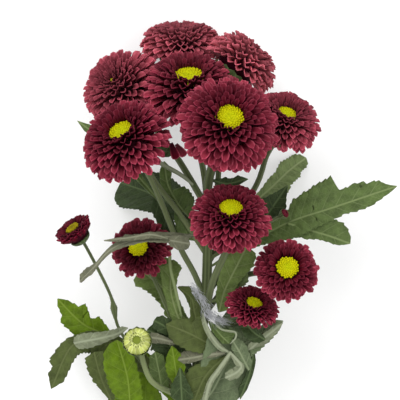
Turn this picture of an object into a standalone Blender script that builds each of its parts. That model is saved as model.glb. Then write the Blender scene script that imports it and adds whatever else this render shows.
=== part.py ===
# A cut spray of pompon chrysanthemums, lying on a table.
# Places and sizes are in millimetres in the spray's own frame: +X to the right, +Y from the
# cut end towards the blooms, +Z up from the table. An empty carries that frame to the origin,
# and every mesh is scaled to metres.
import math
import random

import bmesh
import bpy
from mathutils import Matrix, Vector

MM = 0.001
SEAT_GAP = 0.3
ROOT_GAP = 0.75
BOX_CENTRE = (11.2, -69.7)

LEAF_THICKNESS = 0.8
PETAL_THICKNESS = 1.4
STEM_RADIUS = 3.3
STALK_RADIUS = 1.5
MIDRIB_SPANS = 7
MIDRIB_STEPS = 6
LEAF_NECK = (0.0, 0.4, 0.0)
LEAF_FOLD = 0.14
LEAF_DROOP = 0.004
LEAST_STEP = 0.004
LAST_PLACE = 0.985
UP = Vector((0, 0, 1))

# Colours as linear red, green and blue
CRIMSON = (0.165, 0.006, 0.018)
DISC_YELLOW = (0.55, 0.52, 0.010)
STEM_GREEN = (0.105, 0.135, 0.045)
LEAF_DARK = (0.045, 0.085, 0.035)
LEAF_MID = (0.085, 0.150, 0.040)
LEAF_BRIGHT = (0.130, 0.260, 0.030)
LEAF_GREY = (0.170, 0.215, 0.120)
BUD_GREEN = (0.420, 0.480, 0.120)
BUD_RED = (0.120, 0.010, 0.020)

# A ring of petals: base and tip as (distance from the axis, height) in bloom radii, and its
# share of the outer ring's count. The first ring is the outermost.
OPEN_RINGS = (
    ((0.44, -0.26), (0.90, -0.38), 0.80),
    ((0.46, -0.06), (1.00, -0.03), 1.00),
    ((0.42, 0.09), (0.82, 0.26), 0.70),
    ((0.30, 0.20), (0.55, 0.44), 0.45),
)
CUP_RINGS = (
    ((0.50, -0.10), (1.00, 0.42), 1.00),
    ((0.36, 0.06), (0.64, 0.50), 0.67),
)
CORE_PROFILE = ((0.24, -0.40), (0.48, -0.32), (0.64, -0.08), (0.56, 0.15), (0.36, 0.25))
CORE_TOP = 0.25
CORE_BOTTOM = -0.40
CALYX_PROFILE = ((0.31, 0.0), (0.34, -0.09), (0.26, -0.20), (0.10, -0.28))
CORE_SIDES = 12
CALYX_SIDES = 10

# Along a petal: the place, the half width as a share of its width, and the sag of its back
PETAL_SECTIONS = ((0.0, 0.28, 0.0), (0.66, 0.50, 0.5), (1.0, 0.27, 0.0))
WIDEST_PLACE = 0.66
PETAL_CLOSENESS = 0.97
SHORTEST_REACH = 0.955
ANGLE_PLAY = 0.05
LIFT_PLAY = 0.5

# Discs and buds: (distance from the axis, height) in their own radii
DISC_PROFILE = ((0.92, 0.0), (1.0, 0.18), (0.78, 0.36), (0.34, 0.42))
DISC_SIDES = 12
DISC_RIPPLE = 0.07
BUD_PROFILE = ((0.45, -0.45), (0.86, -0.25), (1.0, 0.10), (0.84, 0.46), (0.52, 0.66), (0.30, 0.50))
BUD_SIDES = 16
BUD_CUP_PROFILE = ((0.62, 0.0), (0.70, -0.25), (0.48, -0.62), (0.22, -0.95))
BUD_CUP_SIDES = 10
GREEN_RIPPLE = 0.05
TABLE_CUTTER_SIZE = (0.4, 0.6, 0.05)


class Bloom:
    """One flower head: its rim's centre and radius, where it faces, and how it is filled.

    Petals is the count in the widest ring, and depth stretches every height. Petals that point
    the way a neighbour crowds them are shorter, by the length of crowd as a share.
    """

    def __init__(self, centre, axis, radius, petals, rings=OPEN_RINGS, depth=1.0, disc=0.25,
                 crowd=(0, 0, 0)):
        self.centre = Vector(centre)
        self.axis = Vector(axis).normalized()
        self.radius = radius
        self.petals = petals
        self.rings = rings
        self.depth = depth
        self.disc = disc
        self.crowd = Vector(crowd)

    def turn(self):
        """The rotation that carries +Z onto the bloom's axis."""
        return self.axis.to_track_quat("Z", "Y").to_matrix()

    def room(self, angle):
        """What is left of a petal's reach where a neighbour crowds it."""
        outward = self.turn() @ Vector((math.cos(angle), math.sin(angle), 0))
        if not self.crowd.length:
            return 1.0
        return 1 - self.crowd.length * max(0.0, outward.dot(self.crowd.normalized())) ** 2

    def height(self, part):
        """A height in bloom radii, as millimetres along the axis."""
        return part * self.radius * self.depth

    def seat(self):
        """Where the calyx's flat top lies."""
        return self.centre + self.axis * (self.height(CORE_BOTTOM) - SEAT_GAP)

    def foot(self):
        """The lower end of the calyx, inside the top of the stalk."""
        return self.seat() + self.axis * CALYX_PROFILE[-1][1] * self.radius


FLAT_RINGS = OPEN_RINGS[1:]
BLOOMS = {
    "main": Bloom((13.6, 36.3, 92), (0.05, 0.35, 0.93), 25.0, 15),
    "upper": Bloom((-5.5, 56.4, 49), (0.0, 0.78, 0.62), 23.5, 13, depth=1.2),
    "left": Bloom((-36.0, 29.0, 80), (-0.27, 0.70, 0.66), 22.9, 13, depth=1.15),
    "middle": Bloom((14.9, -8.3, 84), (0.0, 0.67, 0.74), 20.3, 13),
    "left_top": Bloom(
        (-41.3, 58.2, 34), (-0.36, 0.38, 0.85), 19.8, 12, depth=1.2, disc=0.16, crowd=(0.14, 0, 0)),
    "right": Bloom((42.6, 38.0, 61), (0.50, 0.58, 0.64), 19.2, 12, depth=1.1),
    "top": Bloom((-9.2, 82.0, 17), (0.0, 0.97, 0.24), 22.0, 10, depth=0.85, crowd=(0.1, 0, 0.2)),
    "right_top": Bloom((22.4, 72.2, 31), (0.64, 0.77, -0.05), 20.8, 10, crowd=(-0.16, 0.13, -0.22)),
    "right_low": Bloom((42.8, -34.5, 74), (0.05, 0.34, 0.94), 16.2, 12, rings=FLAT_RINGS, disc=0.32),
    "lowest": Bloom((26.8, -53.2, 58), (0.28, 0.74, 0.60), 14.6, 11, rings=FLAT_RINGS, disc=0.28),
    "left_low": Bloom((-29.8, -24.7, 50), (-0.30, 0.20, 0.93), 15.4, 12, rings=FLAT_RINGS[:2], disc=0.28),
    "half_open": Bloom(
        (-61.6, -17.0, 50), (-0.45, 0.75, 0.45), 8.8, 8, rings=CUP_RINGS, depth=1.2, disc=0.34),
}
ON_TABLE = ("stem", "petals_top")


class Bud:
    """A closed bud: its centre, where it faces and its radius."""

    def __init__(self, centre, axis, radius):
        self.centre = Vector(centre)
        self.axis = Vector(axis).normalized()
        self.radius = radius

    def seat(self):
        """Where the bract cup's flat top lies."""
        return self.centre + self.axis * (BUD_PROFILE[0][1] * self.radius - SEAT_GAP)

    def foot(self):
        """The lower end of the cup, inside the top of the stalk."""
        return self.seat() + self.axis * (BUD_CUP_PROFILE[-1][1] * self.radius)


BUDS = {
    "green": Bud((-31.3, -70.6, 62), (-0.05, 0.25, 0.97), 6.9),
    "red": Bud((42.5, -7.8, 53.6), (0.75, 0.50, 0.45), 2.9),
}


class Limb:
    """A stem or stalk along a smooth line, tapering, with an optional swollen bract."""

    def __init__(self, route, radius=STALK_RADIUS, taper=0.85, sides=5, steps=1, swelling=None):
        self.route = route
        self.radius = radius
        self.taper = taper
        self.sides = sides
        self.steps = steps
        self.swelling = swelling

    def reach_into(self, head):
        """Carries the limb on into the foot of its bloom or bud."""
        self.route = (*self.route, head.foot(), head.foot() + head.axis)

    def line(self):
        return smooth_line(self.route, self.steps)

    def radius_at(self, share):
        """The radius at a share of the way along the limb."""
        radius = self.radius * (1 + (self.taper - 1) * share)
        if self.swelling:
            place, extra, spread = self.swelling
            radius += extra * math.exp(-(((share - place) / spread) ** 2))
        return radius


# Each limb runs from the cut end, or from where it leaves the main stem, towards its bloom
LIMBS = {
    "stem": Limb(
        ((-6.0, -232.0, 2.85), (-6.5, -205.0, 2.8), (-6.0, -175.0, 5.5), (-5.0, -140.0, 15.0),
         (-3.0, -100.0, 29.0), (0.5, -70.0, 38.5), (3.0, -50.0, 44.5), (3.8, -25.0, 51.0),
         (4.0, -5.0, 57.0)),
        radius=STEM_RADIUS, taper=0.72, sides=8, steps=2),
    "main": Limb(((4.0, -8.0, 56.5), (4.0, 8.0, 63.0), (8.0, 22.0, 71.0)), radius=2.4),
    "upper": Limb(((4.0, -12.0, 54.0), (0.0, 10.0, 49.0), (-4.0, 30.0, 43.0))),
    "left": Limb(((1.5, -48.0, 45.5), (-4.8, -17.5, 53.0), (-12.5, -2.5, 59.0), (-24.0, 12.0, 67.0))),
    "middle": Limb(((2.5, -62.0, 40.5), (6.0, -42.0, 59.0), (12.5, -26.0, 71.0)), radius=1.8),
    "left_top": Limb(
        ((3.5, -4.0, 55.0), (-4.0, 9.0, 47.0), (-11.0, 20.5, 40.0), (-18.8, 31.0, 35.0),
         (-29.0, 45.0, 26.0)),
        radius=1.7),
    "right": Limb(((4.0, -32.0, 49.0), (16.0, -12.0, 49.0), (28.5, 7.5, 50.0), (33.7, 22.6, 52.0))),
    "top": Limb(((3.8, -16.0, 53.0), (1.0, 8.0, 42.0), (-3.0, 32.0, 30.0), (-8.5, 58.0, 19.0))),
    "right_top": Limb(((3.8, -20.0, 52.0), (9.0, 8.0, 42.0), (10.0, 36.0, 32.0), (11.5, 55.0, 30.0))),
    "right_low": Limb(((2.5, -58.0, 42.0), (12.0, -46.0, 41.0), (24.0, -38.0, 44.0), (36.0, -37.0, 54.0))),
    "lowest": Limb(((-1.0, -86.0, 33.5), (9.0, -72.0, 38.0), (18.0, -62.0, 45.0))),
    "left_low": Limb(
        ((-3.5, -112.0, 25.0), (-10.0, -74.0, 36.0), (-19.0, -50.0, 40.0), (-25.5, -35.0, 42.0))),
    "half_open": Limb(
        ((-3.5, -115.0, 24.0), (-11.0, -104.0, 33.0), (-26.0, -88.0, 39.0), (-41.0, -66.0, 42.0),
         (-45.0, -50.0, 42.0), (-52.5, -34.0, 43.0)),
        radius=1.2, swelling=(0.50, 1.0, 0.06), steps=2),
    "bud_green": Limb(
        ((-3.5, -110.0, 25.5), (-9.0, -100.0, 31.0), (-16.0, -97.5, 41.0), (-25.5, -90.0, 51.0))),
    "bud_red": Limb(((4.0, -30.0, 50.0), (24.0, -18.0, 55.0), (36.0, -11.5, 53.5)), radius=1.2),
}


class Leaf:
    """One blade: where it grows, its midrib's points, the way its face looks, and its edges.

    It grows beside a limb, at a share of the way along it. An edge point is (place along the
    midrib from 0 to 1, distance out from it, distance on towards the tip).
    """

    def __init__(self, limb, share, midrib, left, right, face=(0.0, 0.2, 1.0), colour=LEAF_MID):
        self.limb = limb
        self.share = share
        self.midrib = [Vector(point) for point in midrib]
        self.face = Vector(face).normalized()
        self.edges = ((LEAF_NECK, *left), (LEAF_NECK, *right))
        self.colour = colour

    def whole_midrib(self):
        """The midrib from its root, just clear of the limb's skin, to the tip."""
        limb = LIMBS[self.limb]
        line = limb.line()
        place = self.share * (len(line) - 1)
        low = min(int(place), len(line) - 2)
        centre = line[low].lerp(line[low + 1], place - low)
        along = (line[low + 1] - line[low]).normalized()
        away = self.midrib[0] - centre
        away = (away - along * away.dot(along)).normalized()
        return [centre + away * (limb.radius_at(self.share) + ROOT_GAP), *self.midrib]


LEAVES = {
    "right_large": Leaf(
        "stem", 0.83, ((25.4, -21.9, 42), (45.7, -11.2, 44), (66.9, -4.1, 46), (100.5, 7.1, 40)),
        ((0.16, 1.2, 0), (0.25, 3, 8), (0.33, 6, 12), (0.40, 10.5, 15), (0.45, 11, 18),
         (0.48, 9.5, 17), (0.52, 11.5, 17.5), (0.57, 14.5, 22.5), (0.61, 12, 20), (0.65, 7, 13.5),
         (0.74, 7, 13.5), (0.80, 7, 14.5), (0.86, 5, 8), (0.90, 5, 8), (0.95, 2.5, 3.5)),
        ((0.16, 1.2, 0), (0.25, 4, 8), (0.32, 7, 9), (0.37, 9, 10.5), (0.41, 13.5, 11.5),
         (0.45, 15.5, 14.5), (0.50, 20.5, 17.5), (0.56, 21.5, 20.5), (0.60, 17, 19), (0.64, 12.5, 15),
         (0.69, 7.5, 7.5), (0.78, 7, 9), (0.87, 5.5, 7), (0.94, 3, 4))),
    "right_back": Leaf(
        "stem", 0.84, ((20.0, -9.0, 27), (36.5, 5.7, 15), (47.4, 15.8, 6), (56.2, 22.3, 0.2)),
        ((0.2, 1.5, 0), (0.4, 4, 0), (0.52, 6, 3), (0.60, 5, 2), (0.70, 7, 2), (0.80, 5.5, 1.5),
         (0.88, 5.5, 1.5), (0.95, 3.5, 0.5)),
        ((0.2, 1.5, 0), (0.4, 6, 1), (0.54, 9.5, 4), (0.62, 7.5, 1), (0.74, 8, 3), (0.82, 5.5, 1),
         (0.91, 5, 1), (0.96, 3, 0.5)),
        face=(0.2, 0.3, 1.0)),
    "right_dark": Leaf(
        "stem", 0.76, ((20.0, -24.0, 37.0), (34.0, -8.0, 36.0), (45.0, 7.5, 33.0)),
        ((0.3, 3, 2), (0.48, 8, 5), (0.58, 6, 3), (0.7, 7, 4), (0.84, 3.5, 2)),
        ((0.3, 3, 2), (0.48, 9, 5), (0.58, 7, 3), (0.7, 8, 4), (0.84, 4, 2)),
        colour=LEAF_DARK),
    "under_main": Leaf(
        "main", 0.28, ((14.0, 8.0, 61.0), (24.0, 10.5, 60.0)),
        ((0.35, 3.5, 1), (0.55, 2.5, 1), (0.7, 3, 2)),
        ((0.35, 2.5, 1), (0.7, 2, 1)),
        face=(0.0, 0.5, 1.0), colour=LEAF_DARK),
    "left_dark": Leaf(
        "stem", 0.86, ((-6.0, -12.0, 31.0), (-16.0, -2.0, 20.0), (-28.0, 4.0, 9.0), (-42.0, 9.0, 0.2)),
        ((0.3, 3, 0), (0.46, 9, 2), (0.54, 12.5, 4), (0.6, 12, 2), (0.7, 13.5, 3), (0.8, 12, 1),
         (0.9, 10.5, 1), (0.96, 6.5, 0.5)),
        ((0.3, 2, 0), (0.46, 5, 2), (0.56, 9, 4), (0.62, 7.5, 2), (0.72, 9, 3), (0.8, 7.5, 1), (0.9, 6, 1),
         (0.96, 3.5, 0.5)),
        face=(0.1, 0.5, 1.0), colour=LEAF_DARK),
    "stems_back": Leaf(
        "stem", 0.92, ((-4.0, -7.0, 43.0), (-8.0, 0.0, 39.0), (-13.0, 9.0, 34.0), (-16.5, 20.0, 31.0)),
        ((0.3, 2, 1), (0.5, 7, 4), (0.58, 5, 2), (0.7, 6, 3), (0.85, 3, 2)),
        ((0.3, 2, 1), (0.5, 6, 4), (0.58, 4.5, 2), (0.7, 5, 3), (0.85, 3, 2)),
        face=(0.0, 0.3, 1.0)),
    "left_long": Leaf(
        "stem", 0.92,
        ((-10.5, -18.5, 64.0), (-27.0, -19.0, 68.0), (-43.0, -24.0, 68.0), (-53.0, -34.0, 65.0),
         (-60.0, -41.0, 61.0)),
        ((0.15, 1.5, 0), (0.28, 5, 3), (0.36, 4.5, 1), (0.46, 7, 4), (0.54, 5, 1), (0.64, 6, 3),
         (0.72, 2.5, 1), (0.8, 4, 3), (0.87, 2.5, 1), (0.95, 3.5, 1)),
        ((0.15, 1.5, 0), (0.28, 5.5, 3), (0.38, 5, 1), (0.48, 8, 4), (0.57, 5.5, 1), (0.68, 5, 3),
         (0.76, 2.5, 1), (0.84, 4, 2), (0.94, 3, 1)),
        face=(0.1, 0.75, 0.65), colour=LEAF_GREY),
    "behind_low": Leaf(
        "stem", 0.64, ((-9.0, -60.0, 31.0), (-19.0, -46.0, 29.0), (-31.0, -36.0, 28.0)),
        ((0.2, 3, 1), (0.42, 8, 4), (0.54, 6.5, 2), (0.7, 8, 4), (0.85, 5, 2)),
        ((0.15, 3, 2), (0.26, 8, 4), (0.36, 12, 7), (0.44, 10, 6), (0.54, 14, 8), (0.64, 13, 6),
         (0.74, 8, 4), (0.87, 5, 2)),
        face=(0.0, 0.3, 1.0), colour=LEAF_BRIGHT),
    "low_left_bright": Leaf(
        "stem", 0.47,
        ((-11.0, -96.0, 20), (-25.8, -82.6, 24), (-45.3, -71.0, 27), (-60.7, -63.5, 28),
         (-73.6, -51.0, 27)),
        ((0.09, 0.7, 0), (0.17, 1.2, 0), (0.25, 2, 1), (0.45, 7, 2.5), (0.58, 9, 1.5), (0.70, 9.5, 4.5), (0.78, 7, 3.5), (0.84, 7, 4.5),
         (0.90, 4, 1.5), (0.96, 2.5, 1)),
        ((0.09, 0.7, 0), (0.17, 1.2, 0), (0.25, 2, 1), (0.45, 5.5, 4), (0.52, 4, 1), (0.60, 4, 0), (0.67, 7, 1.5), (0.72, 4, 0),
         (0.79, 8.5, 4), (0.84, 4, 0.5), (0.90, 3.5, 0), (0.96, 2.5, 0)),
        face=(0.0, -0.1, 1.0), colour=LEAF_BRIGHT),
    "low_left_dark": Leaf(
        "stem", 0.44,
        ((-12.0, -100.0, 25), (-26.7, -85.2, 30), (-47.0, -72.0, 36), (-64.9, -74.1, 35),
         (-76.9, -97.5, 26)),
        ((0.2, 2, 0), (0.45, 6, 3.5), (0.60, 7.5, 2.5), (0.70, 7.5, 2.5), (0.78, 5.5, 4), (0.86, 4, 4),
         (0.95, 2, 2)),
        ((0.2, 2, 1), (0.45, 4, 5), (0.60, 4, 7), (0.68, 3.5, 9), (0.76, 5, 8), (0.82, 6.5, 9.5),
         (0.87, 3.5, 5.5), (0.92, 4, 4), (0.96, 1.5, 2)),
        face=(-0.1, 0.0, 1.0), colour=LEAF_DARK),
    "low_bright": Leaf(
        "stem", 0.40, ((-23.5, -114.0, 13), (-37.8, -99.8, 9), (-48.4, -87.3, 8), (-54.2, -75.7, 8)),
        ((0.15, 4, 0), (0.32, 11, 3), (0.42, 12, 8), (0.5, 9, 5.5), (0.62, 11, 7), (0.72, 9, 5),
         (0.84, 7, 4.5), (0.94, 3.5, 2)),
        ((0.15, 4, 0), (0.30, 11, 2), (0.42, 16, 4), (0.52, 12, 1), (0.64, 16, 3), (0.74, 11, 2),
         (0.86, 8, 4), (0.95, 4, 2)),
        face=(0.0, 0.0, 1.0), colour=LEAF_BRIGHT),
    "low_back": Leaf(
        "stem", 0.42, ((-10.0, -108.0, 14), (-15.0, -92.0, 14), (-17.0, -80.0, 16), (-18.0, -68.0, 18)),
        ((0.2, 3, 1), (0.42, 9, 4), (0.52, 7, 2), (0.68, 8, 4), (0.78, 5, 2), (0.9, 3, 1)),
        ((0.2, 3, 1), (0.42, 8, 4), (0.52, 6, 2), (0.68, 7, 4), (0.78, 5, 2), (0.9, 3, 1)),
        face=(0.0, 0.1, 1.0), colour=LEAF_BRIGHT),
    "low_middle": Leaf(
        "stem", 0.54, ((-11.0, -80.0, 40.0), (-19.0, -70.0, 42.0), (-27.0, -66.0, 42.0)),
        ((0.25, 4, 1), (0.42, 9, 4), (0.52, 7, 1), (0.64, 9, 3), (0.76, 5.5, 1), (0.88, 5, 2)),
        ((0.22, 5, 2), (0.36, 9, 6), (0.5, 7.5, 2), (0.62, 8, 4), (0.74, 4.5, 1), (0.88, 4, 2)),
        face=(0.0, 0.0, 1.0), colour=LEAF_DARK),
    "stem_right": Leaf(
        "stem", 0.74, ((10.0, -49.0, 45.5), (13.5, -38.0, 46.0), (19.0, -28.5, 46.0)),
        ((0.32, 1.0, 1), (0.44, 3.0, 2), (0.58, 3.5, 2), (0.75, 3, 2), (0.9, 1.5, 1)),
        ((0.30, 1.5, 1), (0.38, 6, 3), (0.46, 10.5, 4), (0.56, 11.5, 5), (0.7, 11, 3), (0.82, 8, 2),
         (0.93, 4, 1)),
        face=(-0.15, 0.1, 1.0)),
    "woolly": Leaf(
        "stem", 0.60, ((-2.0, -70.0, 43.5), (-2.5, -60.0, 50.0), (-4.5, -49.0, 53.5)),
        ((0.15, 1, 0), (0.3, 2, 1), (0.5, 3.5, 2), (0.75, 2.5, 1)),
        ((0.15, 1, 0), (0.3, 2, 1), (0.5, 3.5, 2), (0.75, 2.5, 1)),
        face=(0.5, 0.2, 1.0), colour=LEAF_GREY),
    "low_right": Leaf(
        "stem", 0.48, ((6.1, -97.7, 42), (16.2, -78.4, 49), (27.8, -69.3, 49), (42.1, -61.3, 46)),
        ((0.15, 5, 0), (0.28, 12, 7), (0.38, 17, 14), (0.46, 20, 10.5), (0.52, 13, 3), (0.60, 8, 3),
         (0.70, 4, 1), (0.82, 3.5, 1.5), (0.93, 2.5, 1)),
        ((0.10, 5, 0), (0.22, 12, 4), (0.34, 13.5, 3.5), (0.44, 12, 5.5), (0.52, 7, 4), (0.66, 7, 4),
         (0.80, 5.5, 3), (0.92, 3.5, 1)),
        face=(0.3, 0.3, 1.0)),
    "left_tip": Leaf(
        "left", 0.58, ((-44.0, 26.0, 54.0), (-62.0, 40.0, 48.0)),
        ((0.3, 2.5, 1), (0.6, 3.5, 2), (0.85, 2, 1)),
        ((0.3, 2.5, 1), (0.6, 3.5, 2), (0.85, 2, 1)),
        face=(0.0, 0.3, 1.0)),
    "under_left": Leaf(
        "left_top", 0.45, ((-17.5, 24.5, 40.5), (-24.0, 27.5, 42.0)),
        ((0.35, 3, 1), (0.7, 2.5, 1)),
        ((0.35, 3, 1), (0.7, 2.5, 1)),
        face=(0.3, 0.3, 1.0), colour=LEAF_DARK),
}


def clear_scene():
    for thing in list(bpy.data.objects):
        bpy.data.objects.remove(thing, do_unlink=True)


def material(name, colour, roughness):
    surface = bpy.data.materials.new(name)
    surface.use_nodes = True
    surface.diffuse_color = (*colour, 1.0)
    shader = surface.node_tree.nodes["Principled BSDF"]
    shader.inputs["Base Color"].default_value = (*colour, 1.0)
    shader.inputs["Roughness"].default_value = roughness
    shader.inputs["Metallic"].default_value = 0.0
    return surface


def smooth_line(points, steps):
    """Points along a smooth curve through the given ones, steps to each span."""
    points = [Vector(point) for point in points]
    padded = [points[0] * 2 - points[1], *points, points[-1] * 2 - points[-2]]
    line = []
    for before, start, end, after in zip(padded, padded[1:], padded[2:], padded[3:]):
        for step in range(steps):
            t = step / steps
            line.append(
                start
                + (end - before) * (t / 2)
                + (before * 2 - start * 5 + end * 4 - after) * (t * t / 2)
                + (start * 3 - before - end * 3 + after) * (t * t * t / 2)
            )
    line.append(points[-1])
    return line


def loft(shape, rings):
    """A closed skin over rings of equal point counts, with flat ends."""
    loops = [[shape.verts.new(point * MM) for point in ring] for ring in rings]
    count = len(loops[0])
    for low, high in zip(loops, loops[1:]):
        for i in range(count):
            j = (i + 1) % count
            shape.faces.new((low[i], low[j], high[j], high[i]))
    shape.faces.new(list(reversed(loops[0])))
    shape.faces.new(loops[-1])


def new_object(name, shape, surface=None):
    """An object from a bmesh, with its faces turned outwards."""
    bmesh.ops.recalc_face_normals(shape, faces=shape.faces)
    mesh = bpy.data.meshes.new(name)
    shape.to_mesh(mesh)
    shape.free()
    thing = bpy.data.objects.new(name, mesh)
    bpy.context.scene.collection.objects.link(thing)
    if surface:
        mesh.materials.append(surface)
    return thing


def fuse(body, parts):
    """Joins the parts into the body with one union, and removes them."""
    group = bpy.data.collections.new("fused")
    bpy.context.scene.collection.children.link(group)
    for part in parts:
        bpy.context.scene.collection.objects.unlink(part)
        group.objects.link(part)
    union = body.modifiers.new("union", "BOOLEAN")
    union.operation = "UNION"
    union.operand_type = "COLLECTION"
    union.collection = group
    union.solver = "MANIFOLD"
    reader = bpy.context.evaluated_depsgraph_get()
    joined = bpy.data.meshes.new_from_object(body.evaluated_get(reader))
    body.modifiers.remove(union)
    body.data = joined
    for part in parts:
        bpy.data.objects.remove(part, do_unlink=True)
    bpy.data.collections.remove(group)
    keep_outer_skin(joined)
    return body


def keep_outer_skin(mesh):
    """Keeps the largest skin alone, which drops loose scraps and sealed hollows."""
    shape = bmesh.new()
    shape.from_mesh(mesh)
    left = set(shape.verts)
    skins = []
    while left:
        skin = {left.pop()}
        edge_of_skin = list(skin)
        while edge_of_skin:
            vertex = edge_of_skin.pop()
            for edge in vertex.link_edges:
                other = edge.other_vert(vertex)
                if other in left:
                    left.remove(other)
                    skin.add(other)
                    edge_of_skin.append(other)
        skins.append(skin)
    largest = max(skins, key=len)
    loose = [vertex for skin in skins if skin is not largest for vertex in skin]
    bmesh.ops.delete(shape, geom=loose, context="VERTS")
    bmesh.ops.triangulate(shape, faces=shape.faces, quad_method="BEAUTY", ngon_method="BEAUTY")
    shape.to_mesh(mesh)
    shape.free()


def turned_rings(profile, sides, radius, ripple=0.0, height_scale=1.0):
    """Rings round +Z from (distance, height) in radii; a ripple lifts every second point."""
    rings = []
    for distance, height in profile:
        ring = []
        for i in range(sides):
            angle = 2 * math.pi * i / sides
            reach = distance * radius * (1 + ripple * (1 if i % 2 else -1))
            place = (reach * math.cos(angle), reach * math.sin(angle), height * radius * height_scale)
            ring.append(Vector(place))
        rings.append(ring)
    return rings


def ring_about(centre, along, side, radius, sides):
    """A ring of points round a line's tangent, the first one on the given side."""
    across = along.cross(side).normalized()
    side = across.cross(along).normalized()
    points = []
    for i in range(sides):
        angle = 2 * math.pi * (i + 0.5) / sides
        points.append(centre + side * (radius * math.cos(angle)) + across * (radius * math.sin(angle)))
    return points


def tube(limb):
    """The skin of a limb, one of its flats facing the table."""
    line = limb.line()
    rings = []
    for i, point in enumerate(line):
        along = (line[min(i + 1, len(line) - 1)] - line[max(i - 1, 0)]).normalized()
        rings.append(ring_about(point, along, UP, limb.radius_at(i / (len(line) - 1)), limb.sides))
    shape = bmesh.new()
    loft(shape, rings)
    return new_object("tube", shape)


def petal(bloom, angle, base, tip, width, lift):
    """One tongue of a petal, keeled along its back, with an incurved blunt tip."""
    outward = Vector((math.cos(angle), math.sin(angle), 0))
    across = Vector((-math.sin(angle), math.cos(angle), 0))
    start = outward * (base[0] * bloom.radius) + UP * bloom.height(base[1])
    end = outward * (tip[0] * bloom.radius) + UP * (bloom.height(tip[1]) + lift)
    along = (end - start).normalized()
    normal = along.cross(across).normalized()
    if normal.z < 0:
        normal = -normal
    rings = []
    for place, breadth, sag in PETAL_SECTIONS:
        centre = start + (end - start) * place - normal * sag
        rings.append([
            centre + across * (width * breadth),
            centre - across * (width * breadth),
            centre - normal * PETAL_THICKNESS,
        ])
    shape = bmesh.new()
    loft(shape, rings)
    return new_object("petal", shape)


def petals_of(name, bloom):
    """All the petals of a bloom in their rings, fused to the smaller core they grow from."""
    draw = random.Random(f"{name} crown")
    shape = bmesh.new()
    loft(shape, turned_rings(CORE_PROFILE, CORE_SIDES, bloom.radius, height_scale=bloom.depth))
    core = new_object(f"petals_{name}", shape, CRIMSON_PETAL)
    blades = []
    for number, (base, tip, share) in enumerate(bloom.rings):
        count = round(bloom.petals * share)
        spacing = 2 * math.pi / count
        widest = base[0] + (tip[0] - base[0]) * WIDEST_PLACE
        width = 2 * math.pi * widest * bloom.radius / count * PETAL_CLOSENESS
        for i in range(count):
            angle = spacing * (i + 0.5 * (number % 2) + draw.uniform(-ANGLE_PLAY, ANGLE_PLAY))
            reach = tip[0] * draw.uniform(SHORTEST_REACH, 1.0) * bloom.room(angle)
            lift = draw.uniform(-LIFT_PLAY, LIFT_PLAY)
            blades.append(petal(bloom, angle, base, (reach, tip[1]), width, lift))
    return fuse(core, blades)


def disc_of(name, bloom):
    """The button of small florets, as a low dome with raised bumps."""
    radius = bloom.disc * bloom.radius
    shape = bmesh.new()
    loft(shape, turned_rings(DISC_PROFILE, DISC_SIDES, radius, ripple=DISC_RIPPLE))
    bmesh.ops.translate(shape, verts=shape.verts, vec=UP * (bloom.height(CORE_TOP) + SEAT_GAP) * MM)
    return new_object(f"disc_{name}", shape, YELLOW_DISC)


def face_along(thing, head):
    """Places an object at a head's centre, its own +Z along the head's axis."""
    thing.location = head.centre * MM
    thing.rotation_euler = head.axis.to_track_quat("Z", "Y").to_euler()


def calyx_of(bloom):
    """The cup of green bracts under a bloom, flat where the petals' core sits on it."""
    shape = bmesh.new()
    loft(shape, turned_rings(CALYX_PROFILE, CALYX_SIDES, bloom.radius, ripple=GREEN_RIPPLE))
    turn = bloom.turn().to_4x4()
    bmesh.ops.transform(shape, matrix=Matrix.Translation(bloom.seat() * MM) @ turn, verts=shape.verts)
    return new_object("calyx", shape)


def bud_cup(bud):
    """The small bract cup that a bud sits in."""
    shape = bmesh.new()
    loft(shape, turned_rings(BUD_CUP_PROFILE, BUD_CUP_SIDES, bud.radius, ripple=GREEN_RIPPLE))
    turn = bud.axis.to_track_quat("Z", "Y").to_matrix().to_4x4()
    bmesh.ops.transform(shape, matrix=Matrix.Translation(bud.seat() * MM) @ turn, verts=shape.verts)
    return new_object("cup", shape)


def bud_of(name, bud, surface):
    """A closed bud, ribbed by its incurved tips, with a dimple on top."""
    shape = bmesh.new()
    loft(shape, turned_rings(BUD_PROFILE, BUD_SIDES, bud.radius, ripple=GREEN_RIPPLE))
    return new_object(f"bud_{name}", shape, surface)


def stem_with_stalks():
    """Main stem, side stalks, calyxes and bud cups as one green body."""
    stem = tube(LIMBS["stem"])
    stem.name = "stem"
    stem.data.materials.append(GREEN_STEM)
    grown = [tube(limb) for name, limb in LIMBS.items() if name != "stem"]
    grown += [calyx_of(bloom) for bloom in BLOOMS.values()]
    grown += [bud_cup(bud) for bud in BUDS.values()]
    return fuse(stem, grown)


def point_along(line, place):
    """The point and the direction at a place from 0 to 1 along a line."""
    position = place * (len(line) - 1)
    low = min(int(position), len(line) - 2)
    return line[low].lerp(line[low + 1], position - low), (line[low + 1] - line[low]).normalized()


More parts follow.
